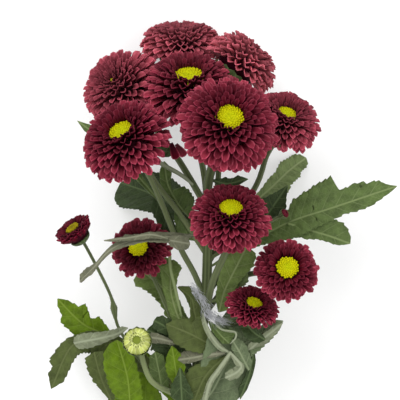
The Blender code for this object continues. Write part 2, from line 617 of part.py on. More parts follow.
def leaf_points(leaf):
    """The midrib and the two edges, each a list of (place, point, normal) up to the tip."""
    line = smooth_line(leaf.whole_midrib(), MIDRIB_STEPS)

    def frame(place):
        middle, along = point_along(line, place)
        side = leaf.face.cross(along).normalized()
        return middle, along, side, along.cross(side).normalized()

    length = sum((after - before).length for before, after in zip(line, line[1:]))
    middle, _, _, normal = frame(1.0)
    end = (1.0, middle, normal)
    midrib = []
    for i in range(MIDRIB_SPANS):
        middle, _, _, normal = frame(i / MIDRIB_SPANS)
        midrib.append((i / MIDRIB_SPANS, middle, normal))
    sides = []
    for hand, edge in zip((1, -1), leaf.edges):
        points = []
        last = -LEAST_STEP
        for start, out, ahead in edge:
            place = max(min(start + ahead / length, LAST_PLACE), last + LEAST_STEP)
            last = place
            middle, _, side, normal = frame(place)
            rise = out * LEAF_FOLD - out * out * LEAF_DROOP
            points.append((place, middle + side * (hand * out) + normal * rise, normal))
        sides.append([*points, end])
    return [*midrib, end], sides


def strip_corners(first, second):
    """Triangles between two lines of (place, ...), taking whichever point comes next."""
    i = j = 0
    corners = []
    while i < len(first) - 1 or j < len(second) - 1:
        take_first = j == len(second) - 1 or (i < len(first) - 1 and first[i + 1][0] <= second[j + 1][0])
        if take_first:
            corners.append(((0, i), (0, i + 1), (1, j)))
            i += 1
        else:
            corners.append(((0, i), (1, j + 1), (1, j)))
            j += 1
    return corners


def leaf_of(name, leaf, surface):
    """A thin arched blade with a lobed edge, split into triangles alike on both faces."""
    midrib, sides = leaf_points(leaf)
    shape = bmesh.new()

    def skin(half):
        def vertex(point, normal):
            lifted = point + normal * half
            lifted.z = max(lifted.z, 0.0 if half < 0 else LEAF_THICKNESS)
            return shape.verts.new(lifted * MM)

        centre = [vertex(point, normal) for _, point, normal in midrib]
        edges = [[vertex(point, normal) for _, point, normal in side[:-1]] for side in sides]
        return centre, [[*edge, centre[-1]] for edge in edges]

    upper, lower = skin(LEAF_THICKNESS / 2), skin(-LEAF_THICKNESS / 2)
    for hand, side in enumerate(sides):
        corners = strip_corners(midrib, side)[:-1]
        for centre, edges in (upper, lower):
            for corner in corners:
                shape.faces.new([(centre if line == 0 else edges[hand])[i] for line, i in corner])
        top, bottom = upper[1][hand], lower[1][hand]
        for i in range(len(top) - 1):
            shape.faces.new((top[i], top[i + 1], bottom[i + 1], bottom[i]))
        shape.faces.new((upper[0][0], top[0], bottom[0], lower[0][0]))
    bmesh.ops.triangulate(shape, faces=shape.faces, quad_method="BEAUTY", ngon_method="BEAUTY")
    return new_object(f"leaf_{name}", shape, surface)


def table_cutter():
    """What would sink into the table is cut flat."""
    shape = bmesh.new()
    bmesh.ops.create_cube(shape, size=1.0)
    cutter = new_object("table_cutter", shape)
    cutter.scale = TABLE_CUTTER_SIZE
    cutter.location = (0, 0, -TABLE_CUTTER_SIZE[2] / 2)
    cutter.hide_render = True
    cutter.display_type = "WIRE"
    return cutter


clear_scene()
for bloom_name, head in BLOOMS.items():
    LIMBS[bloom_name].reach_into(head)
for bud_name, head in BUDS.items():
    LIMBS[f"bud_{bud_name}"].reach_into(head)

CRIMSON_PETAL = material("crimson_petal", CRIMSON, 0.55)
YELLOW_DISC = material("yellow_disc", DISC_YELLOW, 0.6)
GREEN_STEM = material("green_stem", STEM_GREEN, 0.6)
PALE_BUD = material("pale_bud", BUD_GREEN, 0.55)
RED_BUD = material("red_bud", BUD_RED, 0.55)
LEAF_FINISH = {
    LEAF_DARK: material("dark_leaf", LEAF_DARK, 0.5),
    LEAF_MID: material("mid_leaf", LEAF_MID, 0.5),
    LEAF_BRIGHT: material("bright_leaf", LEAF_BRIGHT, 0.5),
    LEAF_GREY: material("grey_leaf", LEAF_GREY, 0.65),
}

spray = bpy.data.objects.new("spray", None)
spray.location = (-BOX_CENTRE[0] * MM, -BOX_CENTRE[1] * MM, 0)
bpy.context.scene.collection.objects.link(spray)

pieces = [stem_with_stalks()]
for bloom_name, head in BLOOMS.items():
    for piece in (petals_of(bloom_name, head), disc_of(bloom_name, head)):
        face_along(piece, head)
        pieces.append(piece)
for bud_name, finish in (("green", PALE_BUD), ("red", RED_BUD)):
    piece = bud_of(bud_name, BUDS[bud_name], finish)
    face_along(piece, BUDS[bud_name])
    pieces.append(piece)
for leaf_name, blade in LEAVES.items():
    pieces.append(leaf_of(leaf_name, blade, LEAF_FINISH[blade.colour]))
cutter = table_cutter()
for piece in (*pieces, cutter):
    piece.parent = spray
for piece_name in ON_TABLE:
    cut = bpy.data.objects[piece_name].modifiers.new("table", "BOOLEAN")
    cut.operation = "DIFFERENCE"
    cut.solver = "MANIFOLD"
    cut.object = cutter
    split = bpy.data.objects[piece_name].modifiers.new("triangles", "TRIANGULATE")
    split.quad_method = "BEAUTY"
    split.ngon_method = "BEAUTY"
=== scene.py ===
# %% [markdown]
# A cut spray of pompon chrysanthemums, lying on a pale table.
# One woody stem carries twelve dark red blooms, two buds and eighteen lobed leaves. The plain
# solids of the frame hold its sizes. Here each one is dressed with finer pieces: thin cupped
# petals, grainy yellow discs, ribbed downy stems and veined leaves.

# %% Load the frame
import math
import random

import bmesh
import bpy
from mathutils import Matrix, Vector


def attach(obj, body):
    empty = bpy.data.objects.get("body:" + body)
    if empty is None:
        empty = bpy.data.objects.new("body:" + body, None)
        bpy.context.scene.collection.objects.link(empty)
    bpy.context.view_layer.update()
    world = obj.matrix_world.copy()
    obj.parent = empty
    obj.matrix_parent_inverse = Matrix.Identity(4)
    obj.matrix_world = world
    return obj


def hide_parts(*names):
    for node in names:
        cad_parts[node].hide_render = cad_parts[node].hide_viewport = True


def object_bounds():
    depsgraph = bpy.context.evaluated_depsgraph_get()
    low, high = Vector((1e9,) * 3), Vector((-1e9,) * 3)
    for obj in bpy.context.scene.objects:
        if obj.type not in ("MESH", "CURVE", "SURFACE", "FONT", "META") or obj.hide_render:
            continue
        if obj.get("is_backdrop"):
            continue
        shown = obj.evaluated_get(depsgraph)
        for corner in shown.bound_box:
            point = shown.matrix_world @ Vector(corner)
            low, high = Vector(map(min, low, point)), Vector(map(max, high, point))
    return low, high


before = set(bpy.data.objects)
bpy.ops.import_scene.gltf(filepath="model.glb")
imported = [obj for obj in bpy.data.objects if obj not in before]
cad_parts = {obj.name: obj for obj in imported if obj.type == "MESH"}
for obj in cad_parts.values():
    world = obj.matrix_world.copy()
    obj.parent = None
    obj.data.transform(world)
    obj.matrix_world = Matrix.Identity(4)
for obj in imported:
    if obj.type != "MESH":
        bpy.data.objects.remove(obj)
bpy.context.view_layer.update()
print("frame nodes:", len(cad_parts))

# %% [markdown]
# The spray was measured in millimetres, with +X to the right, +Y from the cut end to the blooms
# and +Z up from the table. Working in that frame keeps every number as easy to read as a ruler.
# One function then carries a finished shape to the origin and to metres. Thin blades are drawn
# as single sheets, and a Solidify modifier gives them their thickness and a paler reverse.

# %% The spray's own frame
MM = 0.001
BOX_CENTRE = Vector((11.2, -69.7, 0.0))
UP = Vector((0, 0, 1))
TO_WORLD = Matrix.Scale(MM, 4) @ Matrix.Translation(-BOX_CENTRE)
print("middle of the box, mm:", tuple(round(value, 1) for value in BOX_CENTRE))


def standing(spot, towards):
    """The matrix that stands a shape at a spot, with its Z axis along a direction."""
    turn = Vector(towards).to_track_quat("Z", "Y").to_matrix().to_4x4()
    return Matrix.Translation(Vector(spot)) @ turn


def add_object(name, data):
    """Puts an object that shows a mesh, a lamp or a camera into the scene."""
    thing = bpy.data.objects.new(name, data)
    bpy.context.scene.collection.objects.link(thing)
    return thing


def finish_piece(name, shape, surfaces, nodes, wall=0.0):
    """Makes an object from a shape in the spray's frame, and hides the frame's nodes that it stands for."""
    for vertex in shape.verts:
        vertex.co.z = max(vertex.co.z, wall / 2)
    bmesh.ops.transform(shape, matrix=TO_WORLD, verts=shape.verts)
    mesh = bpy.data.meshes.new(name)
    shape.to_mesh(mesh)
    shape.free()
    mesh.shade_smooth()
    for surface in surfaces:
        mesh.materials.append(surface)
    piece = add_object(name, mesh)
    if wall:
        shell = piece.modifiers.new("thickness", "SOLIDIFY")
        shell.thickness = wall * MM
        shell.offset = 0.0
        shell.use_even_offset = False
        shell.material_offset = 1
    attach(piece, "root")
    if nodes:
        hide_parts(*nodes)


# %% [markdown]
# Stems and midribs are never straight. A smooth curve through a few given points gives
# their line. Rings of a stem or rows of a leaf are then placed at any share of the way along it.

# %% Smooth lines
def smooth_line(points, steps=8):
    """Points along a smooth curve through the given ones, steps to each span."""
    points = [Vector(point) for point in points]
    padded = [points[0] * 2 - points[1], *points, points[-1] * 2 - points[-2]]
    line = []
    for before, start, end, after in zip(padded, padded[1:], padded[2:], padded[3:]):
        for step in range(steps):
            t = step / steps
            line.append(
                start
                + (end - before) * (t / 2)
                + (before * 2 - start * 5 + end * 4 - after) * (t * t / 2)
                + (start * 3 - before - end * 3 + after) * (t * t * t / 2)
            )
    line.append(points[-1])
    return line


def along_line(line, share):
    """The point and the direction at a share from 0 to 1 of the line's steps."""
    position = min(max(share, 0.0), 1.0) * (len(line) - 1)
    low = min(int(position), len(line) - 2)
    return line[low].lerp(line[low + 1], position - low), (line[low + 1] - line[low]).normalized()


def line_length(line):
    """The length of a line of points, in mm."""
    return sum((end - start).length for start, end in zip(line, line[1:]))


def read_table(value, table):
    """Reads (place, amount) rows with straight lines between them."""
    for (start, low), (end, high) in zip(table, table[1:]):
        if value <= end:
            return low + (high - low) * (value - start) / (end - start)
    return table[-1][1]


print("points on a smooth line through three:", len(smooth_line(((0, 0, 0), (1, 0, 0), (2, 1, 0)))))

# %% [markdown]
# Every finish here is a small network of nodes. Each one starts from a shader whose roughness and
# sheen are the same all over, and adds its own pattern of colour. A short class keeps the adding
# and joining of nodes readable.

# %% Starting a finish
class Finish:
    """A material, with short ways to add and join its nodes."""

    def __init__(self, name, roughness, specular, sheen=0.0):
        self.material = bpy.data.materials.new(name)
        self.material.use_nodes = True
        self.tree = self.material.node_tree
        self.shader = self.tree.nodes["Principled BSDF"]
        self.shader.inputs["Roughness"].default_value = roughness
        self.shader.inputs["Sheen Weight"].default_value = sheen
        self.shader.inputs["Specular IOR Level"].default_value = specular

    def fill(self, socket, value):
        """Joins an output to a socket, or sets the socket's own value."""
        if isinstance(value, bpy.types.NodeSocket):
            self.tree.links.new(value, socket)
        elif isinstance(value, tuple):
            socket.default_value = (*value, 1.0)
        else:
            socket.default_value = value

    def attribute(self, name):
        """The three numbers stored under a name on the mesh."""
        read = self.tree.nodes.new("ShaderNodeAttribute")
        read.attribute_name = name
        split = self.tree.nodes.new("ShaderNodeSeparateXYZ")
        self.fill(split.inputs[0], read.outputs["Vector"])
        return split.outputs

    def math(self, operation, *values):
        step = self.tree.nodes.new("ShaderNodeMath")
        step.operation = operation
        for socket, value in zip(step.inputs, values):
            self.fill(socket, value)
        return step.outputs[0]

    def times(self, first, second):
        return self.math("MULTIPLY", first, second)

    def rise(self, value, start, end, low=0.0, high=1.0):
        """A smooth step from low to high as the value goes from start to end."""
        step = self.tree.nodes.new("ShaderNodeMapRange")
        step.interpolation_type = "SMOOTHSTEP"
        for socket, amount in zip(step.inputs, (value, start, end, low, high)):
            self.fill(socket, amount)
        return step.outputs[0]

    def between(self, value, low, high):
        """A smooth step from low to high as the value goes from 0 to 1."""
        return self.rise(value, 0.0, 1.0, low, high)

    def mix(self, amount, first, second, blend="MIX"):
        blender = self.tree.nodes.new("ShaderNodeMix")
        blender.data_type = "RGBA"
        blender.blend_type = blend
        for socket, value in zip((blender.inputs[0], *blender.inputs[6:8]), (amount, first, second)):
            self.fill(socket, value)
        return blender.outputs[2]

    def vector(self, x, y, z):
        joined = self.tree.nodes.new("ShaderNodeCombineXYZ")
        for socket, value in zip(joined.inputs, (x, y, z)):
            self.fill(socket, value)
        return joined.outputs[0]

    def shaded(self, colour, shade):
        """The colour, darker where the shade is below 1 and lighter where it is above."""
        return self.mix(1.0, colour, self.vector(shade, shade, shade), "MULTIPLY")

    def noise(self, place, scale, detail=2.0):
        """A soft noise between 0 and 1; place None reads the object's own coordinates."""
        cloud = self.tree.nodes.new("ShaderNodeTexNoise")
        cloud.inputs["Scale"].default_value = scale
        cloud.inputs["Detail"].default_value = detail
        if place is None:
            place = self.tree.nodes.new("ShaderNodeTexCoord").outputs["Object"]
        self.fill(cloud.inputs["Vector"], place)
        return cloud.outputs["Fac"]

    def done(self, colour, height=None, distance=0.1):
        """Sets the colour and, from a height and a distance in mm, the fine relief."""
        self.fill(self.shader.inputs["Base Color"], colour)
        if height is not None:
            relief = self.tree.nodes.new("ShaderNodeBump")
            relief.inputs["Distance"].default_value = distance * MM
            self.fill(relief.inputs["Height"], height)
            self.fill(self.shader.inputs["Normal"], relief.outputs["Normal"])
        return self.material


print("short ways of a finish:", sorted(name for name in vars(Finish) if not name.startswith("_")))

# %% [markdown]
# A bloom's colour runs along each petal: crimson over its length, almost black-red where it is
# rooted and in the inner rows, which is painted shade, and dusty pink on the turned-up rim and the
# tip, which is a painted highlight. Painting a picture for this would blur when seen close. Instead
# every petal stores three numbers at each point: how far it is across, how far along, and a tone
# of its own. Two more say how far inward its ring is, and how far its bloom has faded together
# with the painted light and shade of its head. The finish works the colour out from them.

# %% Petal finishes
# The maroon is painted shade at the petal roots and in the inner rows.
SHADED_MAROON = (0.042, 0.003, 0.010)
CRIMSON = (0.130, 0.002, 0.014)
# The rose and the pale back rim are painted highlights on the turned-up rims and tips.
RIM_HIGHLIGHT = (0.400, 0.042, 0.088)
BACK = (0.300, 0.036, 0.062)
BACK_RIM_HIGHLIGHT = (0.480, 0.110, 0.145)
# The dusty pink of faded petals, set paler as painted light for heads that turn away from the lamp.
FADED = (0.540, 0.150, 0.175)


def petal_finish(name, deep, body, rim, rim_start=0.68):
    look = Finish(name, roughness=0.6, specular=0.05)
    across, along, tone = look.attribute("petal")
    inward, fade, _ = look.attribute("ring")
    streaks = look.noise(look.vector(look.times(across, 7.0), along, look.times(tone, 50.0)), 1.5)
    # Painted shade: the darkest colour fills each petal's root and most of the inner rows, where the petals
    # overlap in the hollow of the bloom.
    fresh = look.times(look.rise(along, 0.20, 0.90), look.between(inward, 1.0, 0.45))
    colour = look.mix(fresh, deep, body)
    # Painted highlight: the turned-up rim and the tip are lightened to pink, less in the inner rows.
    edge = look.rise(look.math("ABSOLUTE", across), rim_start, 1.05)
    edge = look.times(edge, look.rise(along, 0.30, 0.85))
    tip = look.rise(along, 0.91, 1.02)
    lit = look.times(look.math("MAXIMUM", edge, tip), look.between(inward, 0.92, 0.36))
    colour = look.mix(lit, colour, rim)
    colour = look.mix(look.between(fade, 0.0, 0.5), colour, FADED)
    shade = look.times(look.rise(streaks, 0.3, 0.7, 0.82, 1.15), look.between(tone, 0.72, 1.24))
    # Painted shade: the inner rows round the disc are darkened.
    shade = look.times(shade, look.between(inward, 1.10, 0.56))
    # Painted light and shade per head: faded heads are lit up, and heads below 0 are darkened by painted
    # shade.
    shade = look.times(shade, look.rise(fade, -1.0, 1.0, 0.62, 1.26))
    return look.done(look.shaded(colour, shade), streaks, 0.12)


PETAL_FACES = [
    petal_finish("petal_face", SHADED_MAROON, CRIMSON, RIM_HIGHLIGHT),
    petal_finish("petal_back", CRIMSON, BACK, BACK_RIM_HIGHLIGHT, 0.7),
]
print("petal finishes:", [surface.name for surface in PETAL_FACES])

# %% [markdown]
# A petal of a pompon bloom is a short spoon. It is narrow at its root, widest near the end, round
# at the tip and hollow along the middle, with both edges turned up. One small grid makes it: its
# rows follow a bent line from root to tip, and its columns curl up from the middle. Twenty faces
# are enough, because a bloom holds about two hundred of them.

# %% One petal
PETAL_ROWS = (0.0, 0.28, 0.54, 0.78, 0.93, 1.0)
PETAL_WIDTHS = (0.35, 0.58, 0.85, 1.0, 0.82, 0.34)
ROUND_TIP = (0.0, 0.0, 0.0, 0.01, 0.03, 0.05)
PETAL_STEPS = len(PETAL_ROWS) - 1
PETAL_COLUMNS = 4
CURL_START = 0.7
print("faces of a petal:", PETAL_STEPS * PETAL_COLUMNS)


def marked_shape():
    """An empty shape, with the layers that hold each petal's numbers."""
    shape = bmesh.new()
    layers = shape.verts.layers.float_vector
    layers.new("petal")
    layers.new("ring")
    return shape


def enlarged(points, radius):
    """The (distance, height) points of a profile in radii, in mm."""
    return [(distance * radius, height * radius) for distance, height in points]


def add_petal(shape, place, angle, path, half_width, cup, curl, marks, twist):
    """Adds a petal along root, bend and tip, given as (distance from the axis, height).

    Its marks are its tone, how far inward its ring is, and how far it has faded together with the painted
    light and shade of its head.
    """
    root, bend, tip = (Vector(point) for point in path)
    outward = Vector((math.cos(angle), math.sin(angle), 0))
    across = Vector((-math.sin(angle), math.cos(angle), 0))
    petal = shape.verts.layers.float_vector["petal"]
    ring = shape.verts.layers.float_vector["ring"]
    grid = bmesh.ops.create_grid(shape, x_segments=PETAL_COLUMNS, y_segments=PETAL_STEPS, size=1.0)
    for vertex in grid["verts"]:
        u, row = vertex.co.x, round((vertex.co.y + 1) / 2 * PETAL_STEPS)
        v = PETAL_ROWS[row] - ROUND_TIP[row] * u * u
        middle = root * (1 - v) ** 2 + bend * (2 * v * (1 - v)) + tip * (v * v)
        heading = ((bend - root) * (1 - v) + (tip - bend) * v).normalized()
        face = outward * -heading.y + UP * heading.x
        half = half_width * PETAL_WIDTHS[row]
        side = across * math.cos(twist * v) + face * math.sin(twist * v)
        lift = cup * half * u * u + curl * max(0.0, v - CURL_START) ** 2
        vertex[petal] = (u, v, marks[0])
        vertex[ring] = (marks[1], marks[2], 0)
        vertex.co = place @ (
            outward * middle.x + UP * middle.y + face * lift + side * (half * u * (1 - 0.12 * cup * u * u))
        )


def add_turned(shape, profile, place, steps=24):
    """Adds a closed turned body from its (distance from the axis, height) profile."""
    points = [shape.verts.new((distance, 0, height)) for distance, height in profile]
    edges = [shape.edges.new(pair) for pair in zip(points, points[1:])]
    known = set(shape.faces)
    bmesh.ops.spin(
        shape, geom=points + edges, cent=(0, 0, 0), axis=UP, angle=2 * math.pi, steps=steps, use_merge=True)
    skin = [face for face in shape.faces if face not in known]
    rims = [edge for edge in {edge for face in skin for edge in face.edges} if edge.is_boundary]
    skin += bmesh.ops.holes_fill(shape, edges=rims)["faces"]
    bmesh.ops.recalc_face_normals(shape, faces=skin)
    verts = list({vertex for face in skin for vertex in face.verts})
    bmesh.ops.transform(shape, matrix=place, verts=verts)
    return verts


# %% [markdown]
# Twelve heads make the spray. The ones in front look out at us, and the upper ones lean back so
# far that the last is seen from behind. Each is given by its centre, the way it faces and its
# radius, close to the frame's and set one by one over the photograph. The rows below say how a petal
# stands at nine places from the disc outwards: upright round the disc, leaning further out with
# every row, and hanging down behind. The full head has two rows more inside, and the half-open
# one rows of its own, which close to a cup. Petals that a neighbouring head crowds are shorter.

# %% The heads and their rings
OPEN_ROWS = (
    ((0.22, 0.20), (0.25, 0.38), (0.32, 0.43), 18),
    ((0.27, 0.18), (0.34, 0.43), (0.46, 0.49), 21),
    ((0.31, 0.15), (0.44, 0.42), (0.60, 0.46), 23),
    ((0.35, 0.10), (0.54, 0.36), (0.72, 0.38), 26),
    ((0.39, 0.04), (0.64, 0.28), (0.84, 0.26), 29),
    ((0.42, -0.03), (0.72, 0.18), (0.93, 0.11), 31),
    ((0.44, -0.10), (0.77, 0.06), (1.00, -0.05), 32),
    ((0.45, -0.18), (0.77, -0.06), (0.98, -0.20), 31),
    ((0.44, -0.26), (0.74, -0.20), (0.92, -0.36), 28),
)
FULL_ROWS = (
    ((0.05, 0.26), (0.08, 0.40), (0.12, 0.44), 8),
    ((0.13, 0.24), (0.17, 0.41), (0.22, 0.45), 13),
    *OPEN_ROWS,
)
CUP_ROWS = (
    ((0.35, 0.10), (0.50, 0.28), (0.70, 0.33), 26),
    ((0.38, 0.02), (0.62, 0.22), (0.87, 0.33), 29),
    ((0.40, -0.08), (0.73, 0.12), (0.98, 0.30), 31),
    ((0.40, -0.20), (0.76, 0.00), (1.00, 0.22), 32),
    ((0.37, -0.32), (0.70, -0.16), (0.94, 0.06), 31),
)
CORE_PROFILE = ((0.10, -0.42), (0.46, -0.34), (0.60, -0.12), (0.50, 0.10), (0.30, 0.26), (0.05, 0.32))
USUAL_SEAT = 0.34
CALYX_TOP = -0.40
CALYX_HEIGHT = 0.28
PETAL_WALL = 0.3


class Head:
    """One bloom: centre, facing and radius in mm, and in radii its disc's size and height.

    Rows says how its petals stand, depth stretches their heights, and crowd is where it is crowded.
    Fade is how far its petals have paled and are lifted by painted light; below 0 it is painted shade that
    darkens the head.
    """

    def __init__(self, centre, axis, radius, disc, sits=USUAL_SEAT, rows=OPEN_ROWS, depth=1.0,
                 crowd=(0, 0, 0), fade=0.0):
        self.centre = Vector(centre)
        self.axis = Vector(axis).normalized()
        self.radius = radius
        self.rows = rows
        self.depth = depth
        self.disc = disc
        self.sits = sits
        self.crowd = Vector(crowd)
        self.fade = fade
        self.place = standing(self.centre, self.axis)
        self.seat = self.place @ Matrix.Translation((0, 0, CALYX_TOP * depth * radius))

    def scaled(self, point):
        """A (distance, height) in radii, in mm."""
        return point[0] * self.radius, point[1] * self.radius * self.depth

    def room(self, angle):
        """What is left of a petal's reach where a neighbour crowds it."""
        if not self.crowd.length:
            return 1.0
        outward = self.place.to_3x3() @ Vector((math.cos(angle), math.sin(angle), 0))
        return 1 - self.crowd.length * max(0.0, outward.dot(self.crowd.normalized())) ** 2

    def foot(self):
        """The lower end of the calyx, where the stalk ends."""
        return self.centre + self.axis * (self.radius * (CALYX_TOP * self.depth - CALYX_HEIGHT))


HEADS = {
    "main": Head((13.6, 37.0, 92), (0.14, 0.44, 0.88), 25.5, 0.27, 0.24, crowd=(-0.045, -0.03, 0)),
    "upper": Head((-5.5, 56.4, 49), (0.0, 0.78, 0.62), 24.4, 0.32, 0.26, depth=1.15, fade=0.2),
    "left": Head(
        (-36.3, 29.6, 80), (-0.36, 0.60, 0.71), 23.0, 0.30, 0.22, depth=1.12, crowd=(0.05, -0.08, 0)),
    "middle": Head((14.9, -8.3, 84), (0.0, 0.67, 0.74), 20.3, 0.31, 0.28),
    "left_top": Head(
        (-40.0, 57.2, 34), (-0.53, 0.43, 0.73), 22.1, 0.045, rows=FULL_ROWS, depth=1.2, fade=0.5),
    "right": Head(
        (42.0, 39.5, 61), (0.24, 0.70, 0.67), 18.8, 0.29, 0.22, depth=1.08, crowd=(-0.16, -0.22, 0),
        fade=0.4),
    "top": Head(
        (-9.4, 81.6, 17), (0.0, 0.97, 0.24), 22.8, 0.20, depth=0.85, crowd=(0.05, 0, 0.2), fade=0.7),
    "right_top": Head(
        (21.8, 71.2, 31), (0.64, 0.77, -0.05), 20.8, 0.25, crowd=(-0.16, 0.13, -0.22), fade=1.0),
    "right_low": Head(
        (42.8, -34.5, 74), (0.05, 0.34, 0.94), 16.2, 0.335, 0.26, rows=OPEN_ROWS[2:8]),
    "lowest": Head(
        (26.3, -54.0, 58), (0.28, 0.74, 0.60), 14.7, 0.29, 0.24, rows=OPEN_ROWS[1:8], depth=0.85,
        crowd=(0.04, -0.18, 0)),
    "left_low": Head(
        (-29.5, -24.3, 50), (-0.30, 0.20, 0.93), 16.1, 0.31, rows=OPEN_ROWS[2:7], fade=-1.0),
    "half_open": Head(
        (-63.0, -15.9, 50), (-0.54, 0.74, 0.40), 10.7, 0.33, 0.24, rows=CUP_ROWS, fade=-0.5),
}
print("heads:", len(HEADS))

# %% [markdown]
# Real petals don't stand in rings. Each one grows a golden angle on from the last, so they form
# the spirals of scales that the eye sees in a bloom. The petals here do the same, from the disc
# outwards, on a small turned core that closes the view between them. Chance, seeded by the
# head's name, turns, twists, lengthens and tints each petal a little differently.

# %% Petals of every head
GOLDEN_ANGLE = math.pi * (3 - math.sqrt(5))
USUAL_RADIUS = 25.0
CORE_GAP = 0.04
LEAST_REACH = (0.98, 1.02, 0.96)
SINKING = 0.45
SUNK_ROWS = 5
OVERLAP = 1.08


def petal_line(head, position):
    """Root, bend and tip of a petal at a position in rows from the disc, kept clear of the disc."""
    position = min(max(position, 0.0), len(head.rows) - 1)
    low = min(int(position), len(head.rows) - 2)
    drop = SINKING * (USUAL_SEAT - head.sits) * max(0.0, 1 - position / SUNK_ROWS)
    line = []
    for near, far, least in zip(head.rows[low], head.rows[low + 1], LEAST_REACH):
        point = Vector(near).lerp(Vector(far), position - low)
        line.append(Vector((max(point.x, least * head.disc), point.y - drop)))
    return line


def petals_of(name, head):
    """Makes the petals of a head as one piece, and counts them."""
    draw = random.Random(f"{name} petals")
    shape = marked_shape()
    # The core takes the colour of a petal's root, the painted shade between the petals.
    core = [head.scaled((out, min(height, head.sits - CORE_GAP))) for out, height in CORE_PROFILE]
    add_turned(shape, core, head.place)
    count = 0
    for number, (_, _, _, full) in enumerate(head.rows):
        petals = max(10, round(full * (head.radius / USUAL_RADIUS) ** 0.4))
        for i in range(petals):
            root, bend, tip = petal_line(head, number - 0.5 + (i + 0.5) / petals)
            half = OVERLAP * math.pi * (0.35 * root.x + 0.65 * tip.x) * head.radius / petals
            half *= 0.75 if number == 0 else 1.0
            angle = count * GOLDEN_ANGLE + draw.uniform(-0.07, 0.07)
            reach = draw.uniform(0.91, 1.03) * head.room(angle)
            lift = draw.uniform(-0.025, 0.025)
            path = [
                head.scaled(root),
                head.scaled((bend.x * (1 + reach) / 2, bend.y + lift)),
                head.scaled((tip.x * reach, tip.y + lift)),
            ]
            add_petal(
                shape, head.place, angle, path, half * draw.uniform(0.9, 1.1),
                cup=draw.uniform(0.6, 1.0), curl=draw.uniform(4.0, 14.0) * half / 2.4,
                marks=(draw.random(), 1 - number / (len(head.rows) - 1), head.fade),
                twist=draw.uniform(-0.4, 0.4))
            count += 1
    finish_piece(
        f"petals_{name}_fine", shape, PETAL_FACES, [f"petals_{name}"], PETAL_WALL)
    return count


for head_name, head in HEADS.items():
    print(head_name, "petals:", petals_of(head_name, head))

# %% [markdown]
# A few of the lowest petals hang loose from their heads and show their pale pink backs. They are
# single petals from the same grid. Each is given by its root, where it points, its length, half
# its width and how far it has faded, with the painted light that lifts faded petals.

# %% Loose petals
LOOSE = (
    ((37.6, 33.5, 60), (0.40, -1, -0.2), 9.5, 2.2, 1.0),
    ((40.2, 33.0, 58), (0.80, -1, -0.3), 7.0, 1.8, 1.0),
    ((-14.5, 28.5, 60), (0.35, -1, -0.1), 8.5, 2.4, 0.1),
    ((-12.0, 28.0, 58), (0.75, -1, -0.2), 7.5, 2.2, 0.3),
)


def loose_petals():
    """The loose petals, in the head's two finishes turned over."""
    draw = random.Random("loose petals")
    shape = marked_shape()
    for root, towards, length, half, fade in LOOSE:
        turn = Vector(towards).to_track_quat("X", "Z").to_matrix().to_4x4()
        path = ((0, 0), (length * 0.5, 0.9), (length, 0.2))
        add_petal(
            shape, Matrix.Translation(Vector(root)) @ turn, 0.0, path, half, cup=0.7, curl=6.0,
            marks=(draw.random(), 0.0, fade), twist=draw.uniform(-0.3, 0.3))
    finish_piece("petals_loose", shape, PETAL_FACES[::-1], [], PETAL_WALL)


loose_petals()
print("loose petals:", len(LOOSE))

# %% [markdown]
# The yellow button is a dome packed with tiny florets, still closed. Seeds and florets fill a disc
# in a spiral, each one a golden angle on from the last, which leaves no gaps and no rows. A small
# icosahedron stands for each floret, on a turned cushion that closes the gaps.

# %% Discs
LIME = (0.42, 0.46, 0.001)
YELLOW = (0.52, 0.50, 0.001)
YOUNG_OLIVE = (0.16, 0.13, 0.004)
YOUNG_GOLD = (0.30, 0.24, 0.004)
CUSHION_PROFILE = ((0.9, -0.7), (0.95, -0.1), (0.75, 0.08), (0.4, 0.18), (0.05, 0.2))
DISC_HEIGHT = 0.14
FLORETS = 100
FULL_DISC = 6.0


def disc_finish(name, middle, rim):
    look = Finish(name, roughness=0.7, specular=0.08)
    outward, tone, _ = look.attribute("petal")
    colour = look.mix(look.rise(outward, 0.15, 0.75), middle, rim)
    colour = look.shaded(colour, look.between(tone, 0.88, 1.08))
    return look.done(colour, look.noise(None, 2500.0))


def disc_of(name, head, surface):
    """Makes the disc of a head as one piece, and counts its florets."""
    draw = random.Random(f"{name} disc")
    radius = head.disc * head.radius
    floor = head.radius * head.sits * head.depth
    shape = marked_shape()
    mark = shape.verts.layers.float_vector["petal"]
    cushion = [(distance, floor + height) for distance, height in enlarged(CUSHION_PROFILE, radius)]
    for vertex in add_turned(shape, cushion, head.place, 16):
        vertex[mark] = (0.6, 0.1, 0)
    florets = round(FLORETS * min(1.0, radius / FULL_DISC))
    size = radius * 1.2 / math.sqrt(florets)
    for i in range(florets):
        out = math.sqrt((i + 0.5) / florets)
        spot = Vector((math.cos(i * GOLDEN_ANGLE), math.sin(i * GOLDEN_ANGLE), 0)) * (out * radius)
        spot.z = floor + radius * DISC_HEIGHT * (1 - out * out) + draw.uniform(-0.15, 0.15) * size
        stretch = Matrix.Diagonal((1, 1, draw.uniform(1.0, 1.5), 1))
        turn = Matrix.Rotation(draw.uniform(0, 6.28), 4, "Z")
        dots = bmesh.ops.create_icosphere(
            shape, subdivisions=1, radius=size * draw.uniform(0.85, 1.05),
            matrix=head.place @ Matrix.Translation(spot) @ turn @ stretch)
        tone = draw.random()
        for vertex in dots["verts"]:
            vertex[mark] = (out, tone, 0)
    finish_piece(f"disc_{name}_fine", shape, [surface], [f"disc_{name}"])
    return florets


DISC_FACE = disc_finish("disc_florets", LIME, YELLOW)
YOUNG_DISC = disc_finish("young_disc_florets", YOUNG_OLIVE, YOUNG_GOLD)
for head_name, head in HEADS.items():
    disc_face = YOUNG_DISC if head_name == "half_open" else DISC_FACE
    print(head_name, "florets:", disc_of(head_name, head, disc_face))

# %% [markdown]
# The skin of stem and stalks is grey-green, with paler ridges and a pale bloom of down on the
# young ones. Every point of it stores whether it lies on a ridge, a tone of its limb and how
# downy that is, so one finish serves them all.

